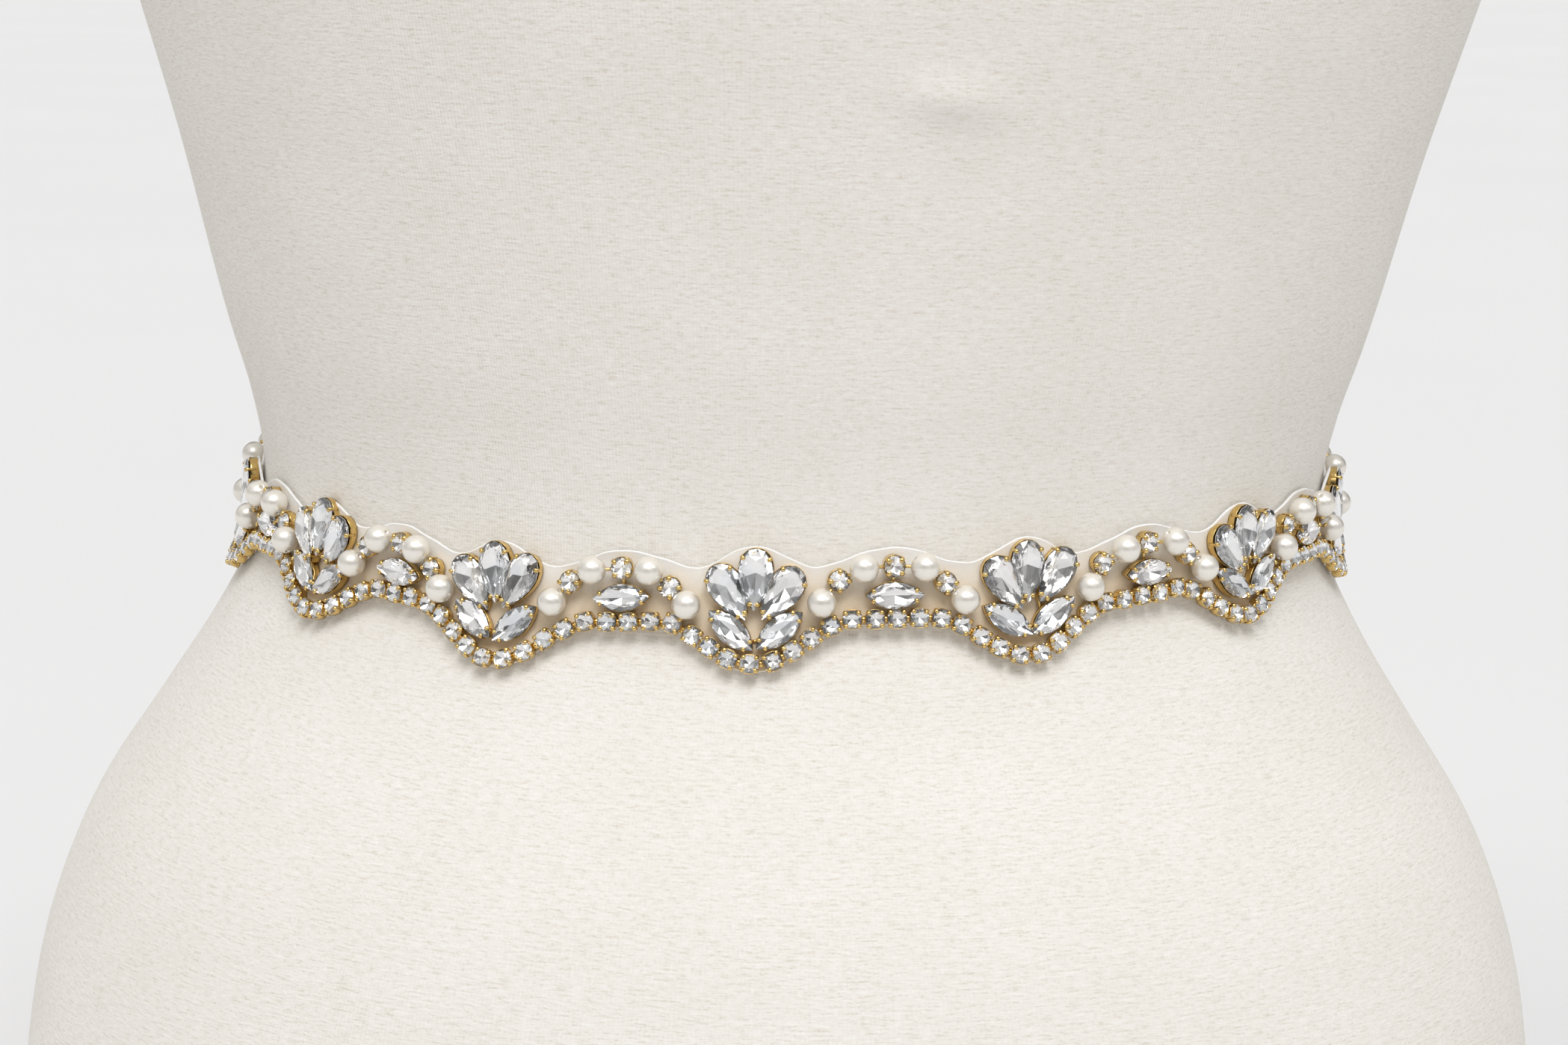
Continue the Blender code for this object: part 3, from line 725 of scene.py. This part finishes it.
GOLD_TONE = (0.80, 0.565, 0.215)
JERSEY = jersey()
BACKING = backing_cloth()
SATIN = ribbon_satin()
GOLD = gold_metal("gold_plate", GOLD_TONE)
GLASS = crystal_glass()
FOIL = silver_foil()
NACRE = pearl_nacre()
THREAD = thread()


# Pieces


def keep_cloth_map(obj, across, up):
    """Gives each corner its place on the cloth, in metres, as the map that the weave reads."""
    mesh = obj.data
    layer = mesh.uv_layers.new(name="cloth")
    corners = np.empty(len(mesh.loops), int)
    mesh.loops.foreach_get("vertex_index", corners)
    layer.data.foreach_set("uv", np.stack((across[corners], up[corners]), axis=1).ravel())


FORM_HEIGHT = 0.7
FORM_SIDES = 192
FORM_RINGS = np.arange(5, 696, 3.0) * MM
FORM_RIM = 2.4 * MM
FORM_RIM_RINGS = np.array([0.0, 0.4, 1.2, 2.4]) * MM
FORM_CLOTH_RADIUS = 0.125
PUCKER_AT = np.array([28.5, 393.0]) * MM
PUCKER_HALF_SIZE = np.array([7.5, 4.4]) * MM
PUCKER_RISE = 1.5 * MM
PUCKER_SLANT = 0.12
PUCKER_RINGS = np.arange(-9, 10) * MM


def pucker(points):
    """A small slack fold in the jersey, high on the front."""
    front = points[..., 1] < 0
    away = np.stack((points[..., 0] - PUCKER_AT[0], points[..., 2] - PUCKER_AT[1]), axis=-1)
    away[..., 1] += PUCKER_SLANT * away[..., 0]
    spread = np.exp(-((away / PUCKER_HALF_SIZE) ** 2).sum(axis=-1))
    rise = np.where(front, spread * PUCKER_RISE, 0.0)
    return np.stack((np.zeros_like(rise), -rise, np.zeros_like(rise)), axis=-1)


def rim_inset(height):
    """How far the rounded rims at the form's top and base draw its skin in, at this height."""
    short = max(0.0, FORM_RIM - min(height, FORM_HEIGHT - height))
    return FORM_RIM - math.sqrt(max(0.0, FORM_RIM**2 - short**2))


def build_form():
    """The form's jersey skin, smooth all round, with a softened rim at its top and base."""
    heights = np.concatenate((
        FORM_RIM_RINGS, FORM_RINGS, PUCKER_AT[1] + PUCKER_RINGS, FORM_HEIGHT - FORM_RIM_RINGS,
    ))
    heights = np.unique(heights.round(5))
    angles = np.linspace(-math.pi, math.pi, FORM_SIDES + 1)
    rings = []
    for height in heights:
        points = form_points(angles, np.full_like(angles, height))
        centre = np.array([0, points[:, 1].mean(), 0])
        span = np.linalg.norm((points - centre)[:, :2], axis=1)[:, None]
        points[:, :2] -= (points - centre)[:, :2] / span * rim_inset(height)
        rings.append(points)
    rings = np.array(rings)
    rings += pucker(rings)
    base, top = rings[0][:-1], rings[-1][:-1]
    columns = FORM_SIDES + 1
    shape = Shape(JERSEY)
    shape.add((rings.reshape(-1, 3), lattice(len(heights), columns, closed=False)))
    shape.add((base, [tuple(reversed(range(FORM_SIDES)))]), smooth=False)
    shape.add((top, [tuple(range(FORM_SIDES))]), smooth=False)
    form = shape.piece("dress_form_skin", "jersey", "dress_form")
    lids = np.concatenate((base, top))
    around = np.concatenate((np.tile(angles * FORM_CLOTH_RADIUS, len(heights)), lids[:, 0]))
    up = np.concatenate((np.repeat(heights, columns), lids[:, 1]))
    keep_cloth_map(form, around, up)
    weld_form(form)


def weld_form(form):
    """Joins the seam at the centre back and the lids to the skin."""
    build = bmesh.new()
    build.from_mesh(form.data)
    bmesh.ops.remove_doubles(build, verts=build.verts, dist=1e-6)
    build.to_mesh(form.data)
    build.free()


# Waves in cloth: radians in a metre along it and from edge to edge, their start and their share
Wave = namedtuple("Wave", "along across start share")
WAVES = (Wave(173, 0.0, 1.3, 1.0), Wave(331, 2.1, 0.4, 0.6), Wave(61, -1.7, 0.0, 0.5))


def ripple(along, share, size):
    """Slow, uneven waves in cloth."""
    total = sum(
        wave.share * np.sin(along * wave.along + share * wave.across + wave.start) for wave in WAVES
    )
    return size * total / sum(wave.share for wave in WAVES)


def cloth_strip(name, slot, finish, along, bottom, top, out, thick, rows, nodes):
    """A thin strip of cloth with both its sides, from tables of its edges along the waist."""
    shares = np.linspace(0, 1, rows)
    a = np.repeat(along, rows)
    s = np.tile(shares, len(along))
    up = np.repeat(bottom, rows) + np.repeat(top - bottom, rows) * s
    inner = out(a, s)
    points = np.concatenate((
        wrapped(np.stack((a, up, inner), axis=1)),
        wrapped(np.stack((a, up, inner + thick), axis=1)),
    ))
    count = len(a)
    back = lattice(len(along), rows, closed=False)
    front = [tuple(corner + count for corner in reversed(face)) for face in back]
    edge = [row * rows for row in range(len(along))]
    edge += [(len(along) - 1) * rows + row for row in range(1, rows)]
    edge += [row * rows + rows - 1 for row in reversed(range(len(along) - 1))]
    edge += reversed(range(1, rows - 1))
    rim = [(i, j, j + count, i + count) for i, j in zip(edge, edge[1:] + edge[:1])]
    shape = Shape(finish)
    shape.add((points, back + front + rim))
    obj = shape.piece(name, slot, *nodes)
    keep_cloth_map(obj, np.tile(a, 2), np.tile(up, 2))
    obj.data.set_sharp_from_angle(angle=math.radians(60))
    return obj


BACKING_OUT = 0.5 * MM
BACKING_THICK = 0.6 * MM
BACKING_COLUMNS = 561
BACKING_ROWS = 15
FLAT_HALF_SHARE = 0.34
EDGE_LIFT = 0.32 * MM
EDGE_RIPPLE = 0.22 * MM
EDGE_ROLL = 0.24 * MM
TOP_WOBBLE = 0.22 * MM
TOP_WOBBLE_PACE = 3


def backing_out(along, share):
    """The backing lies flat under the trims, and its two edges stand off the form a little."""
    edge = (np.abs(share - 0.5) - FLAT_HALF_SHARE) / (0.5 - FLAT_HALF_SHARE)
    return BACKING_OUT + np.clip(edge, 0, 1) ** 2 * (EDGE_LIFT + ripple(along, share, EDGE_RIPPLE))


def build_backing():
    """The belt's scalloped strip of cloth, with a thin roll along both its edges."""
    along = np.linspace(BELT_START, BELT_END, BACKING_COLUMNS)
    bottom = backing_bottom(along)
    top = backing_top(along) + ripple(along * TOP_WOBBLE_PACE, 0.0, TOP_WOBBLE)
    backing = cloth_strip(
        "belt_backing", "ivory_cloth", BACKING, along, bottom, top, backing_out, BACKING_THICK,
        BACKING_ROWS, ["backing"],
    )
    edge = Shape(BACKING)
    for share, level in ((1.0, top), (0.0, bottom)):
        out = backing_out(along, np.full_like(along, share)) + BACKING_THICK / 2
        edge.add(tube(wrapped(np.stack((along, level, out), axis=1)), EDGE_ROLL))
    rim = edge.piece("belt_backing_edge", "ivory_cloth")
    # The rolls read the cloth map at their edge's height, so along the bottom hem the backing's
    # painted shade and painted gold bounce light darken and warm the roll
    up = np.repeat((*top, *bottom), WIRE_SIDES)
    keep_cloth_map(rim, np.repeat(np.tile(along, 2), WIRE_SIDES), up)


TUCK = 5 * MM
TURN_IN = 9 * MM
RIBBON_COLUMNS = 161
RIBBON_ROWS = 9
RIBBON_THICK = 0.35 * MM
RIBBON_OUT = 0.1 * MM
RIBBON_LIFT = 0.45 * MM
RIBBON_LIFT_LENGTH = 4 * MM
RIBBON_RIPPLE = 0.16 * MM
RIBBON_RIPPLE_SLANT = 0.004
TURN_IN_COLUMNS = 13
TURN_IN_INSET = 0.25 * MM
TURN_IN_OUT = 0.4 * MM


def build_ribbons():
    """Two satin ribbons, from under the ends of the backing to the opening at the centre back."""
    gap = BACK_OPENING / 2
    spans = {
        "ribbon_left": (BELT_START + TUCK, -HALF_WAIST + gap),
        "ribbon_right": (BELT_END - TUCK, HALF_WAIST - gap),
    }
    for name, (inner_end, outer_end) in spans.items():
        along = np.linspace(*sorted((inner_end, outer_end)), RIBBON_COLUMNS)
        bottom = np.full_like(along, RIBBON_UP - RIBBON_WIDTH / 2)
        top = bottom + RIBBON_WIDTH

        def out(a, s, inner_end=inner_end):
            free = np.clip((np.abs(a - inner_end) - TUCK) / RIBBON_LIFT_LENGTH, 0, 1)
            free = free * free * (3 - 2 * free)
            waves = ripple(a + s * RIBBON_RIPPLE_SLANT, s, RIBBON_RIPPLE)
            return RIBBON_OUT + free * (RIBBON_LIFT + waves)

        piece = cloth_strip(
            f"satin_{name}", "ivory_satin", SATIN, along, bottom, top, out, RIBBON_THICK,
            RIBBON_ROWS, [name],
        )
        way = 1 if outer_end > inner_end else -1
        fold_along = np.linspace(*sorted((outer_end, outer_end - way * TURN_IN)), TURN_IN_COLUMNS)
        fold_bottom = np.full_like(fold_along, RIBBON_UP - RIBBON_WIDTH / 2 + TURN_IN_INSET)

        def fold_out(a, s, out=out):
            return out(a, s) + TURN_IN_OUT

        fold = cloth_strip(
            f"{name}_turn_in", "ivory_satin", SATIN, fold_along, fold_bottom,
            fold_bottom + RIBBON_WIDTH - 2 * TURN_IN_INSET, fold_out, RIBBON_THICK, RIBBON_ROWS, [],
        )


# How far hand setting leaves stones and pearls out of true, as spreads of the random draws
SLIP = 0.05 * MM
TURN_SLIP = 0.02
TILT = 0.045
PEARL_TURN_SLIP = 0.1
CUP_SLIP = 0.06 * MM
CUP_TILT = 0.05


def set_stone(stones, settings, kind, at, sides=SETTING_SIDES):
    """Adds one stone to the stones, foiled below, and its cup and claws to the settings."""
    cut = CUTS[kind]
    points, over, under = cut_stone(kind, cut)
    stones.add((points, over + under), [0] * len(over) + [1] * len(under), smooth=False, at=at)
    settings.add(cup_wall(kind, cut, sides), at=at)
    for t in cut.claws:
        settings.add(claw(kind, cut, t), at=at)


def jitter(size):
    return float(RANDOM.normal(0, size))


def stone_seat(place, along, motif_turn):
    """Where a stone of a layout goes, a touch out of true as hand setting leaves it."""
    c, s = math.cos(motif_turn), math.sin(motif_turn)
    x = along + (place.along * c - place.up * s) * MM + jitter(SLIP)
    y = (place.along * s + place.up * c) * MM + jitter(SLIP)
    turn = math.radians(place.turn) + motif_turn + jitter(TURN_SLIP)
    return seat(x, y, TRIM_OUT, turn, jitter(TILT), jitter(TILT))


# The ring of wire under a fan, with its half length and half height
PLATE_WIRE = 0.34 * MM
PLATE_REACH = 3.1 * MM, 4.1 * MM
PLATE_OUT = TRIM_OUT - 0.15 * MM
PLATE_POINTS = 40


def build_fans():
    """Seven fans, each of five stones on a ring of wire."""
    for number, fan in enumerate(FANS, 1):
        turn = math.radians(fan.turn)
        stones, settings = Shape(GLASS, FOIL), Shape(GOLD)
        for place in FAN_LAYOUTS[fan.layout]:
            set_stone(stones, settings, place.kind, stone_seat(place, fan.along * MM, turn))
        around = np.linspace(0, 2 * math.pi, PLATE_POINTS)
        x = fan.along * MM + PLATE_REACH[0] * np.sin(around)
        y = FAN_PLATE_UP * MM - PLATE_REACH[1] * np.cos(around)
        ring = wrapped(np.stack((x, y, np.full_like(x, PLATE_OUT)), axis=1))
        settings.add(tube(ring, PLATE_WIRE))
        stones.piece(f"fan_{number}_stones", "crystal", f"fan_{number}")
        settings.piece(f"fan_{number}_settings", "gold", f"fan_{number}")


BOW_WIRE = 0.36 * MM
BOW_WIRE_STEP = 0.4 * MM
LOW_WIRE = 0.32 * MM
LOW_WIRE_STEP = 0.6 * MM
LOW_WIRE_OUT = TRIM_OUT - 0.1 * MM
ROUND_REACH = 2.05 * MM
ROUND_WIRE_OUT = TRIM_OUT + 1.0 * MM
PEARL_REACH = 0.8 * PEARL_RADIUS
PEARL_TURN = 0.75


def between_stones(settings, start, end):
    """A short wire from one bowed stone or pearl to the next, outside both."""
    reaches, points = [], []
    for place, (along, up) in (start, end):
        if place.kind == "pearl":
            reaches.append(PEARL_REACH)
            points.append((along, up, PEARL_OUT))
        else:
            reaches.append(ROUND_REACH)
            points.append((along, up, ROUND_WIRE_OUT))
    points = np.array(points)
    way = points[1] - points[0]
    way /= np.linalg.norm(way[:2])
    ends = points[0] + way * reaches[0], points[1] - way * reaches[1]
    settings.add(tube(wrapped(resampled(ends, BOW_WIRE_STEP)), BOW_WIRE))


def build_links():
    """The bows of pearls and round stones between the fans, each over a lying navette."""
    pearl = drilled_pearl()
    for number, (before, after) in enumerate(zip(STATIONS, STATIONS[1:]), 1):
        middle = (before + after) / 2
        share = 1 + LINK_DRAW * ((after - before) / REPEAT - 1)
        layout = [place._replace(along=place.along * share) for place in LINK_LAYOUT]
        pearls, stones, settings = Shape(NACRE), Shape(GLASS, FOIL), Shape(GOLD)
        for place in layout:
            if place.kind == "pearl":
                turn = (PEARL_TURN if place.along < 0 else -PEARL_TURN) + jitter(PEARL_TURN_SLIP)
                at = seat(middle + place.along * MM, place.up * MM, PEARL_OUT, turn)
                pearls.add(pearl, at=at)
            else:
                set_stone(stones, settings, place.kind, stone_seat(place, middle, 0.0))
        *bowed, navette = [(p, (middle + p.along * MM, p.up * MM)) for p in layout]
        for start, end in zip(bowed, bowed[1:]):
            between_stones(settings, start, end)
        top_stone = bowed[len(bowed) // 2]
        drop = [(*at, LOW_WIRE_OUT) for _, at in (top_stone, navette)]
        settings.add(tube(wrapped(resampled(drop, LOW_WIRE_STEP)), LOW_WIRE))
        node = f"link_{number}"
        pearls.piece(f"{node}_pearls", "pearl", node)
        stones.piece(f"{node}_stones", "crystal", node)
        settings.piece(f"{node}_settings", "gold", node)


CHAIN_POINTS = 4000
CHAIN_WIRE = 0.75 * MM
CHAIN_WIRE_OUT = TRIM_OUT + 0.35 * MM
CHAIN_WIRE_ENDS = (0.4, 0.6)


def chain_line():
    """Points a cup's pitch apart along the wavy line of the chain, and the turn at each."""
    along = np.linspace(BELT_START + CHAIN_END_MARGIN, BELT_END - CHAIN_END_MARGIN, CHAIN_POINTS)
    up = chain_up(along)
    length = np.concatenate(([0.0], np.cumsum(np.hypot(np.diff(along), np.diff(up)))))
    cups = int(length[-1] / CUP_PITCH)
    at = np.linspace(0, length[-1], cups + 1)
    turns = np.interp(at, length, np.arctan(np.gradient(up, along)))
    return np.interp(at, length, along), np.interp(at, length, up), turns


def build_chain():
    """The chain of small cups along the belt's lower edge, joined by short bars."""
    stones, settings = Shape(GLASS, FOIL), Shape(GOLD)
    line = list(zip(*chain_line()))
    for along, up, turn in line:
        up, turn = up + jitter(CUP_SLIP), turn + jitter(CUP_TILT)
        at = seat(along, up, TRIM_OUT, turn, jitter(CUP_TILT), jitter(CUP_TILT))
        set_stone(stones, settings, "cup", at, CHAIN_CUP_SIDES)
    for (along, up, _), (next_along, next_up, _) in zip(line, line[1:]):
        ends = [
            (along + (next_along - along) * t, up + (next_up - up) * t, CHAIN_WIRE_OUT)
            for t in CHAIN_WIRE_ENDS
        ]
        settings.add(tube(wrapped(resampled(ends, BOW_WIRE_STEP)), CHAIN_WIRE))
    stones.piece("chain_stones", "crystal", "cup_chain")
    settings.piece("chain_cups", "gold", "cup_chain")


# The closure: the hook's shank from its sewn end, along it and out over the ribbon, and its bend
HOOK_WIRE = 0.45 * MM
HOOK_SHANK = np.array([(-8.0, 0.0), (-4.4, 0.0), (-2.3, 0.9), (-1.2, 1.2)]) * MM
HOOK_HALF_WIDTH = 0.75 * MM
HOOK_BEND = 1.2 * MM
HOOK_BEND_AT = -0.3 * MM
HOOK_BEND_POINTS = 7
EYE_LENGTH = 6.0 * MM
EYE_HALF_WIDTH = 2.4 * MM
CLOSURE_STEP = 0.35 * MM
CLOSURE_SIDES = 12


def build_closure():
    """The wire hook and eye at the centre back, finer than in the CAD and in the same place."""
    rest = TRIM_OUT + HOOK_WIRE
    profile = [(along, rest + out) for along, out in HOOK_SHANK]
    for turn in np.linspace(0, math.pi, HOOK_BEND_POINTS):
        bent = HOOK_BEND_AT + HOOK_BEND * math.sin(turn)
        profile.append((bent, rest + HOOK_BEND * math.cos(turn)))
    near = [(along, -HOOK_HALF_WIDTH, out) for along, out in reversed(profile)]
    far = [(along, HOOK_HALF_WIDTH, out) for along, out in profile]
    corner = HOOK_HALF_WIDTH / 2
    legs = [
        (EYE_LENGTH, EYE_HALF_WIDTH), (HOOK_BEND_AT + corner, EYE_HALF_WIDTH),
        (HOOK_BEND_AT, EYE_HALF_WIDTH - corner),
    ]
    eye = [(along, -up, rest) for along, up in legs]
    eye += [(along, up, rest) for along, up in reversed(legs)]
    for name, points in {"closure_hook": near + far, "closure_eye": eye}.items():
        flat = resampled(points, CLOSURE_STEP) + (HALF_WAIST, RIBBON_UP, 0)
        shape = Shape(GOLD)
        shape.add(tube(wrapped(flat), HOOK_WIRE, CLOSURE_SIDES))
        shape.piece(f"{name}_wire", "gold", name)


# Stitches: rows over the belt line at the ends of the backing and of the turn-ins, and pairs
# across the wires of the closure
THREAD_RADIUS = 0.14 * MM
THREAD_SIDES = 6
STITCH_POINTS = 9
END_ROW = np.arange(-9.0, 6.6, 1.6) * MM
END_ROW_INSET = 2.2 * MM
END_STITCH = np.array([1.2, 0.5]) * MM
END_SLIP = 0.2 * MM, 0.1 * MM
TURN_IN_ROW = np.arange(-8.4, 5.8, 1.3) * MM
TURN_IN_ROW_INSET = 0.8 * MM
TURN_IN_STITCH = np.array([0.15, 0.8]) * MM
HOOK_STITCHES = np.array([-7.0, -5.6]) * MM
EYE_STITCHES = np.array([3.4, 5.2]) * MM
PAIR_STEPS = np.array([-0.25, 0.25]) * MM
PAIR_HALF_LENGTH = 0.7 * MM

# How far out from the form each kind of stitch starts, and how far it rises over that
END_ARC = 1.12 * MM, 0.2 * MM
TURN_IN_ARC = 1.2 * MM, 0.25 * MM
PAIR_ARC = 1.5 * MM, 1.25 * MM


def build_stitches():
    """Hand stitches: ribbon to backing, the turn-ins, and over the hook and eye."""
    shape = Shape(THREAD)

    def stitch(start, end, out, rise):
        t = np.linspace(0, 1, STITCH_POINTS)
        flat = np.outer(1 - t, (*start, out)) + np.outer(t, (*end, out))
        flat[:, 2] += rise * np.sin(math.pi * t)
        shape.add(tube(wrapped(flat), THREAD_RADIUS, THREAD_SIDES))

    for edge, way in ((BELT_START, 1), (BELT_END, -1)):
        for up in END_ROW:
            x = edge + way * (END_ROW_INSET + jitter(END_SLIP[0]))
            end = x + way * END_STITCH[0], up + END_STITCH[1] + jitter(END_SLIP[1])
            stitch((x, up), end, *END_ARC)
    for way in (1, -1):
        x = way * (HALF_WAIST - BACK_OPENING / 2 - TURN_IN + TURN_IN_ROW_INSET)
        for up in TURN_IN_ROW:
            stitch((x, up), (x + TURN_IN_STITCH[0], up + TURN_IN_STITCH[1]), *TURN_IN_ARC)
    for places, half_width in ((HOOK_STITCHES, HOOK_HALF_WIDTH), (EYE_STITCHES, EYE_HALF_WIDTH)):
        for along, side, step in itertools.product(places, (-1, 1), PAIR_STEPS):
            x = HALF_WAIST + along + step
            y = RIBBON_UP + side * half_width
            stitch((x, y - PAIR_HALF_LENGTH), (x, y + PAIR_HALF_LENGTH), *PAIR_ARC)
    shape.piece("hand_stitches", "ivory_cloth")


build_form()
build_backing()
build_ribbons()
build_fans()
build_links()
build_chain()
build_closure()
build_stitches()


# Studio


FLOOR_HALF = 60.0


def build_floor():
    """A broad, even floor that runs out to the horizon."""
    f = Finish("studio_floor", Roughness=0.85, Specular_IOR_Level=0.1)
    cloud = f.noise(f.place(), 1.3, 2.0)
    f.set(Base_Color=f.ramp(cloud, (0.3, (0.795, 0.793, 0.795)), (0.7, (0.810, 0.808, 0.810))))
    corners = [(x * FLOOR_HALF, y * FLOOR_HALF, 0) for x, y in ((-1, -1), (1, -1), (1, 1), (-1, 1))]
    mesh = bpy.data.meshes.new("studio_floor")
    mesh.from_pydata(corners, [], [(0, 1, 2, 3)])
    mesh.materials.append(f.material)
    floor = bpy.data.objects.new("studio_floor", mesh)
    bpy.context.scene.collection.objects.link(floor)


# Round patches of light in the world: the way to each, the cosine of the angle at its edge, and
# its strength
Softbox = namedtuple("Softbox", "towards edge strength")
SOFTBOX_FADE = 0.02
SOFTBOXES = (
    Softbox((-0.27, -0.62, 0.737), 0.972, 5.0),
    Softbox((0.66, -0.42, 0.623), 0.982, 4.0),
    Softbox((-0.80, 0.10, 0.592), 0.82, 0.2),
)
PANELS = 5.0
SKY_TINT = (1.0, 0.99, 0.975, 1)
BACKGROUND = (0.80, 0.80, 0.805, 1)


def build_world():
    """A pale studio: brighter above, dim in front, with dark gaps between panels low down."""
    world = bpy.data.worlds.new("studio")
    bpy.context.scene.world = world
    world.use_nodes = True
    world.node_tree.nodes.clear()
    w = Nodes(world.node_tree)

    def smooth(value, low, high, to_low, to_high):
        return w.between(value, to_low, to_high, low, high, interpolation_type="SMOOTHSTEP")

    def product(first, second):
        return w.maths("MULTIPLY", first, second)

    way = w.node("TexCoord").node.outputs["Generated"]
    x, y, z = w.node("SeparateXYZ", {"Vector": way}).node.outputs
    ahead = product(y, -1.0)
    level = product(smooth(z, 0.05, 0.9, 0.355, 0.565), smooth(x, -0.95, -0.1, 0.92, 1.0))
    turn = product(w.maths("ARCTAN2", x, ahead), PANELS)
    panels = smooth(w.maths("SINE", turn, 0.0), -0.75, -0.45, 0.10, 1.0)
    panels = w.maths("MAXIMUM", panels, smooth(z, 0.55, 0.75, 0.0, 1.0))
    strength = product(product(level, panels), smooth(ahead, 0.78, 0.96, 1.0, 0.25))
    for lamp in SOFTBOXES:
        lamp_x, lamp_y, lamp_z = lamp.towards
        near = w.maths("ADD", product(x, lamp_x), product(y, lamp_y))
        near = w.maths("ADD", near, product(z, lamp_z))
        patch = smooth(near, lamp.edge, lamp.edge + SOFTBOX_FADE, 0.0, lamp.strength)
        strength = w.maths("ADD", strength, patch)
    seen = w.node("Background", {"Color": BACKGROUND})
    lit = w.node("Background", {"Color": SKY_TINT, "Strength": strength})
    to_camera = w.node("LightPath").node.outputs["Is Camera Ray"]
    output = world.node_tree.nodes.new("ShaderNodeOutputWorld")
    w.plug(output.inputs["Surface"], w.node("MixShader", {0: to_camera, 1: lit, 2: seen}))


def build_light(name, strength, width, elevation, azimuth, tint):
    """A distant light, its width and place in degrees. Azimuth 0 is in front, +X is positive."""
    data = bpy.data.lights.new(name, "SUN")
    data.energy = strength
    data.angle = math.radians(width)
    data.color = tint
    lamp = bpy.data.objects.new(name, data)
    e, a = math.radians(elevation), math.radians(azimuth)
    towards = Vector((math.sin(a) * math.cos(e), -math.cos(a) * math.cos(e), math.sin(e)))
    lamp.rotation_mode = "QUATERNION"
    lamp.rotation_quaternion = towards.to_track_quat("Z", "Y")
    bpy.context.scene.collection.objects.link(lamp)


CAMERA_DISTANCE = 0.700
CAMERA_ELEVATION = math.radians(11.4)
CAMERA_ROLL = 0.025
CAMERA_AIM = Vector((-0.0017, 0.0, 0.290))
FOCAL_LENGTH_PIXELS = 4102
PHOTO_WIDTH_PIXELS = 2098
SENSOR_WIDTH = 36


def build_camera():
    """The photograph's view: a little above the belt, near, and rolled a touch."""
    back = Vector((0, -math.cos(CAMERA_ELEVATION), math.sin(CAMERA_ELEVATION)))
    right = Vector((1, 0, 0))
    up = back.cross(right)
    turned_right = right * math.cos(CAMERA_ROLL) + up * math.sin(CAMERA_ROLL)
    turned_up = up * math.cos(CAMERA_ROLL) - right * math.sin(CAMERA_ROLL)
    data = bpy.data.cameras.new("camera")
    data.sensor_fit = "HORIZONTAL"
    data.sensor_width = SENSOR_WIDTH
    data.lens = FOCAL_LENGTH_PIXELS / PHOTO_WIDTH_PIXELS * SENSOR_WIDTH
    data.clip_start = 0.05
    data.clip_end = 300
    camera = bpy.data.objects.new("camera", data)
    axes = Matrix((turned_right, turned_up, back)).transposed().to_4x4()
    camera.matrix_world = Matrix.Translation(CAMERA_AIM + back * CAMERA_DISTANCE) @ axes
    bpy.context.scene.collection.objects.link(camera)
    bpy.context.scene.camera = camera


build_floor()
build_world()
build_light("key", strength=1.62, width=24, elevation=54, azimuth=9, tint=(0.985, 0.985, 1.0))
build_camera()

view = bpy.context.scene.view_settings
view.view_transform = "Standard"
view.look = "None"
